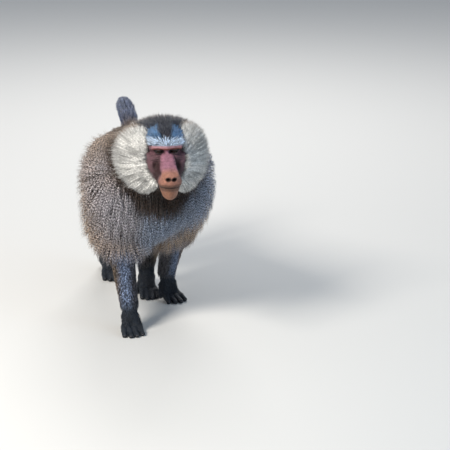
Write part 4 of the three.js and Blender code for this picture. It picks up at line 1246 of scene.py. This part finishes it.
def fan(side, count, start, end, behind, lift, fall, bundles):
    """Roots, normals and paths of a fan's hairs, then their places along the curves, layers and chances."""
    count = int(count * HAIR_SHARE)
    steps = np.append(0, np.cumsum(np.linalg.norm(np.diff(end, axis=0), axis=1)))
    share = np.interp(RANDOM.random(count) * steps[-1], steps, np.linspace(0, 1, len(end)))
    layer = RANDOM.random(count) ** 1.2
    reach = mix(0.36, 1.0, ramp(0, 0.35, layer)) * mix(1, 0.85, ramp(0.5, 1, layer))
    reach = reach * RANDOM.uniform(0.9, 1.05, count)
    bundle = np.round(share * bundles + 3 * layer + RANDOM.normal(0, 0.12, count))
    gathered = (bundle - 3 * layer) / bundles
    chance = scrambled(bundle * HASH[0] + np.floor(layer * 5) * HASH[1])
    drift = np.clip(share + 0.6 * (gathered - share), 0, 1)
    roots = along_curve(start, share) - np.outer(layer, [0, behind[0], 0])
    tips = along_curve(end, drift) - np.outer(layer, [0, behind[1], 0]) - np.outer(layer**2, [0, 0, fall])
    tips[:, 0] *= (1 - 0.005 * fall * layer**2) * (1 - LEAN * side)
    tips[:, 2] -= RIGHT_LOWER * (side < 0) * ramp(0, 60, tips[:, 2]) * ramp(20, 90, tips[:, 0])
    roots, tips = from_head(roots * [side, 1, 1]), from_head(tips * [side, 1, 1])
    for _ in range(3):
        normals = unit(gradient(guide, roots, 6.0))
        roots = roots - normals * guide(roots)[:, None]
    tips = roots + reach[:, None] * (tips - roots) + RANDOM.normal(0, 2.5, (count, 3))
    bend = roots + 0.45 * (tips - roots) + np.outer(lift * reach, FORWARD) + 5 * normals
    path = [roots - 3 * normals]
    for t in np.linspace(0, 1, 5)[1:]:
        path.append((1 - t) ** 2 * roots + 2 * t * (1 - t) * bend + t * t * tips)
    return roots, normals, np.stack(path, axis=1), share, layer, chance


def whisker_tones(share, layer):
    behind = ramp(0.4, 0.6, layer)
    return painted(
        np.tile(WHISKER_TONE, (len(share), 1)),
        (WHISKER_BACK, behind),
        (MANTLE_TOP, behind * fade(0.35, 0.5, share)),
        (RUFF_EDGE, behind * ramp(0.6, 0.7, share)),
    )


def crest_tones(share, layer):
    grizzled = np.maximum(ramp(0.3, 0.55, layer), ramp(0.36, 0.5, share))
    return painted(np.tile(CROWN, (len(share), 1)), (MANTLE_TOP, grizzled))


def grow_long_hair():
    for name, side in (("right", -1), ("left", 1)):
        for kind, tones, settings in (("whiskers", whisker_tones, WHISKERS), ("crest", crest_tones, CREST)):
            roots, normals, path, share, layer, chance = fan(side, **settings)
            tone = tones(share, layer) * mix(0.62, 1.08, chance)[:, None]
            width = RANDOM.uniform(1.2, 2.2, len(roots))
            facing = np.tile(FORWARD, (len(roots), 1))
            banding = np.full(len(roots), 0.22)
            coat(f"{kind}_{name}", "cape", roots, normals, path, width, facing, tone, banding)


# Smaller hard and bare pieces
def ball(segments=28, rings=18):
    """A closed unit sphere of triangles about z."""
    around = 2 * np.pi * np.arange(segments) / segments
    down = np.pi * np.arange(1, rings) / rings
    ring = np.stack([
        np.outer(np.sin(down), np.cos(around)),
        np.outer(np.sin(down), np.sin(around)),
        np.outer(np.cos(down), np.ones(segments)),
    ], axis=-1).reshape(-1, 3)
    points = np.concatenate([ring, [[0, 0, 1], [0, 0, -1]]])
    top, bottom = len(ring), len(ring) + 1
    last = (rings - 2) * segments
    faces = []
    for j in range(segments):
        k = (j + 1) % segments
        faces += [(top, j, k), (bottom, last + k, last + j)]
        for row in range(0, last, segments):
            a, b = row + j, row + k
            faces += [(a, a + segments, b + segments), (a, b + segments, b)]
    return points, np.array(faces)


def merged(parts):
    points, faces, start = [], [], 0
    for p, f in parts:
        points.append(p)
        faces.append(f + start)
        start += len(p)
    return np.concatenate(points), np.concatenate(faces)


BALL, BALL_FACES = ball()

IRIS_RADIUS = 5.3
PUPIL_RADIUS = 2.1


def make_eyes():
    n = Nodes("eye")
    away = n.attribute("away")
    iris = n.spotted(colour(44, 24, 12), 900.0, 3.0, 0.6, 0.7, 1.3)
    white = n.span(away, IRIS_RADIUS, IRIS_RADIUS + 0.8, 0.0, 1.0)
    pupil = n.span(away, PUPIL_RADIUS, PUPIL_RADIUS + 0.5, 1.0, 0.0)
    around = n.mixed("MIX", white, iris, (*colour(24, 16, 13), 1))
    tone = n.mixed("MIX", pupil, around, (0.004, 0.003, 0.003, 1))
    gaze = unit(np.array([0, 1.0, -0.12]))
    ball = BALL * EYE_RADIUS
    away = np.linalg.norm(np.cross(ball, gaze), axis=1) + np.where(ball @ gaze < 0, 20, 0)
    ball = ball + gaze * (1.3 * fade(4, 7, away))[:, None]
    parts = [(from_head((ball + EYE) * [side, 1, 1]), BALL_FACES[:, ::side]) for side in (-1, 1)]
    eyes = mesh_object("eyes", *merged(parts), n.done(tone, Roughness=0.16, Specular_IOR_Level=0.14))
    give(eyes, "away", np.tile(away, 2))
    finished(eyes, "eye", "eye_right", "eye_left")


EAR_AT = (76, -86, 6)
EAR_STEPS = 32
EAR_PROFILE = [
    (-12, 0.05), (-11.6, 0.35), (-9.5, 0.65), (-5.5, 0.88), (0, 1.0), (2.4, 1.02), (2.6, 0.95),
    (0, 0.88), (-4.5, 0.76), (-7.5, 0.55), (-9, 0.3), (-9.6, 0.04),
]


def make_ears():
    """Shallow cups, turned to the sides and a little forward."""
    n = Nodes("ear")
    n.bump(n.noise(420.0, 3.0, 0.6), 0.0006, 0.5)
    material = n.done(n.spotted(colour(120, 84, 80), 180.0, 4.0, 0.6, 0.75, 1.2), Roughness=0.6)
    around = 2 * np.pi * np.arange(EAR_STEPS) / EAR_STEPS
    points = []
    for depth, r in EAR_PROFILE:
        fold = 1 + 0.05 * np.sin(3 * around) * r
        points.append(columns(
            np.full(EAR_STEPS, depth), 18 * r * fold * np.cos(around), 26 * r * fold * np.sin(around),
        ))
    faces = []
    last = EAR_STEPS * (len(EAR_PROFILE) - 1)
    for row in range(0, last, EAR_STEPS):
        for j in range(EAR_STEPS):
            a, b = row + j, row + (j + 1) % EAR_STEPS
            faces += [(a, b, b + EAR_STEPS), (a, b + EAR_STEPS, a + EAR_STEPS)]
    for j in range(1, EAR_STEPS - 1):
        faces += [(0, j + 1, j), (last, last + j, last + j + 1)]
    points, faces = np.concatenate(points), np.array(faces)
    parts = []
    for side in (-1, 1):
        axes = unit(np.array([[side * 0.5, 0.85, 0.1], [side * 0.86, -0.5, 0.06], [0, 0, 1.0]]))
        parts.append((from_head(points @ axes + EAR_AT * np.array([side, 1, 1])), faces[:, ::side]))
    finished(mesh_object("ears", *merged(parts), material), "coat", "ear_right", "ear_left")


PAD_RADII = [25, 17, 34]
PAD_TILT = -0.25
PAD_TURN = -0.35


def make_pads():
    n = Nodes("seat_pad")
    n.bump(n.math("MINIMUM", n.cells(260.0), 0.12), 0.002, 0.7)
    material = n.done(n.spotted(colour(150, 104, 104), 90.0, 4.0, 0.6, 0.75, 1.15), Roughness=0.55)
    for name, side in (("right", -1), ("left", 1)):
        turn = Matrix.Rotation(side * PAD_TURN, 3, "Z") @ Matrix.Rotation(PAD_TILT, 3, "X")
        points = BALL * PAD_RADII @ np.array(turn).T + PAD_AT * [side, 1, 1]
        pad = mesh_object(f"pad_{name}", points, BALL_FACES, material)
        finished(pad, "rump", f"seat_pad_{name}")


NAIL_PAST_TIP = 3
NAIL_RISE = 3.6


def make_nails():
    n = Nodes("nail")
    material = n.done(n.spotted(colour(52, 46, 46), 500.0, 2.0, 0.5, 0.7, 1.25), Roughness=0.35)
    down = np.array([0, 0, -1.0])
    parts = []
    for limbs, digits in ((ARMS, FINGERS), (LEGS, TOES)):
        for side, part in limbs.items():
            at = placed(part, side)
            ahead = unit(at(0, 1, 0) - at(0, 0, 0))
            sideways = np.array([-ahead[1], ahead[0], 0])
            axes = np.stack([sideways * 4.6, unit(ahead + 0.5 * down) * 6, down * 1.8 + ahead * 0.8])
            for i, length in enumerate(digits["lengths"]):
                across = (i - digits["middle"]) * digits["steps"][2]
                tip = at(across, length + NAIL_PAST_TIP, DIGIT_Z + NAIL_RISE)
                parts.append((tip + BALL @ axes, BALL_FACES))
    finished(mesh_object("nails", *merged(parts), material), "hand")


# Camera, at the photograph's viewing angle
CAMERA_AT = [-1542.47, -7829.54, 2705.51]
CAMERA_RIGHT = (0.97437, -0.22495, 0)
CAMERA_UP = (0.06577, 0.28488, 0.95630)
CAMERA_BACK = (-0.21512, -0.93179, 0.29237)
SENSOR = 36
LENS_PER_WIDTH = 2647 / 450


def make_camera():
    data = bpy.data.cameras.new("camera")
    data.lens = LENS_PER_WIDTH * SENSOR
    data.sensor_width = SENSOR
    data.clip_end = 100
    camera = bpy.data.objects.new("camera", data)
    bpy.context.scene.collection.objects.link(camera)
    matrix = np.eye(4)
    matrix[:3, :3] = columns(CAMERA_RIGHT, CAMERA_UP, CAMERA_BACK)
    matrix[:3, 3] = to_row(CAMERA_AT)
    camera.matrix_world = Matrix(matrix.tolist())
    bpy.context.scene.camera = camera


def make_light(name, place, height, size, power, tint):
    """A square light that looks at the middle of the animal at the given height."""
    data = bpy.data.lights.new(name, "AREA")
    data.size = size
    data.energy = power
    data.color = tint
    light = bpy.data.objects.new(name, data)
    light.location = place
    light.rotation_euler = (Vector((0, 0, height)) - Vector(place)).to_track_quat("-Z", "Y").to_euler()
    bpy.context.scene.collection.objects.link(light)


FLOOR_TONE = (0.62, 0.615, 0.60, 1)
FLOOR_HALF = 60000
SKY_TONE = (0.80, 0.88, 1.0, 1)
SKY_STRENGTH = 0.45


def make_stage():
    corners = np.array([[-1, -1, 0], [1, -1, 0], [1, 1, 0], [-1, 1, 0]], float)
    faces = np.array([[0, 1, 2], [0, 2, 3]])
    material = Nodes("floor").done(FLOOR_TONE, Roughness=0.9)
    mesh_object("floor", corners * FLOOR_HALF + [0, 0, SOLE_Z], faces, material)
    world = bpy.data.worlds.new("world")
    world.use_nodes = True
    sky = world.node_tree.nodes["Background"].inputs
    sky["Color"].default_value = SKY_TONE
    sky["Strength"].default_value = SKY_STRENGTH
    bpy.context.scene.world = world
    bpy.context.scene.view_settings.view_transform = "Standard"
    make_light("key", (-2.6, -1.8, 3.2), 0.35, size=1.3, power=215, tint=(1.0, 0.95, 0.87))
    make_light("fill", (2.8, -2.6, 1.6), 0.35, size=2.4, power=32, tint=(0.50, 0.76, 1.0))
    make_light("rim", (0.8, 2.8, 2.6), 0.4, size=1.6, power=70, tint=(1.0, 0.98, 0.95))


make_skin()
grow_cape()
grow_short_coat()
grow_crown()
grow_long_hair()
make_eyes()
make_ears()
make_pads()
make_nails()
make_camera()
make_stage()
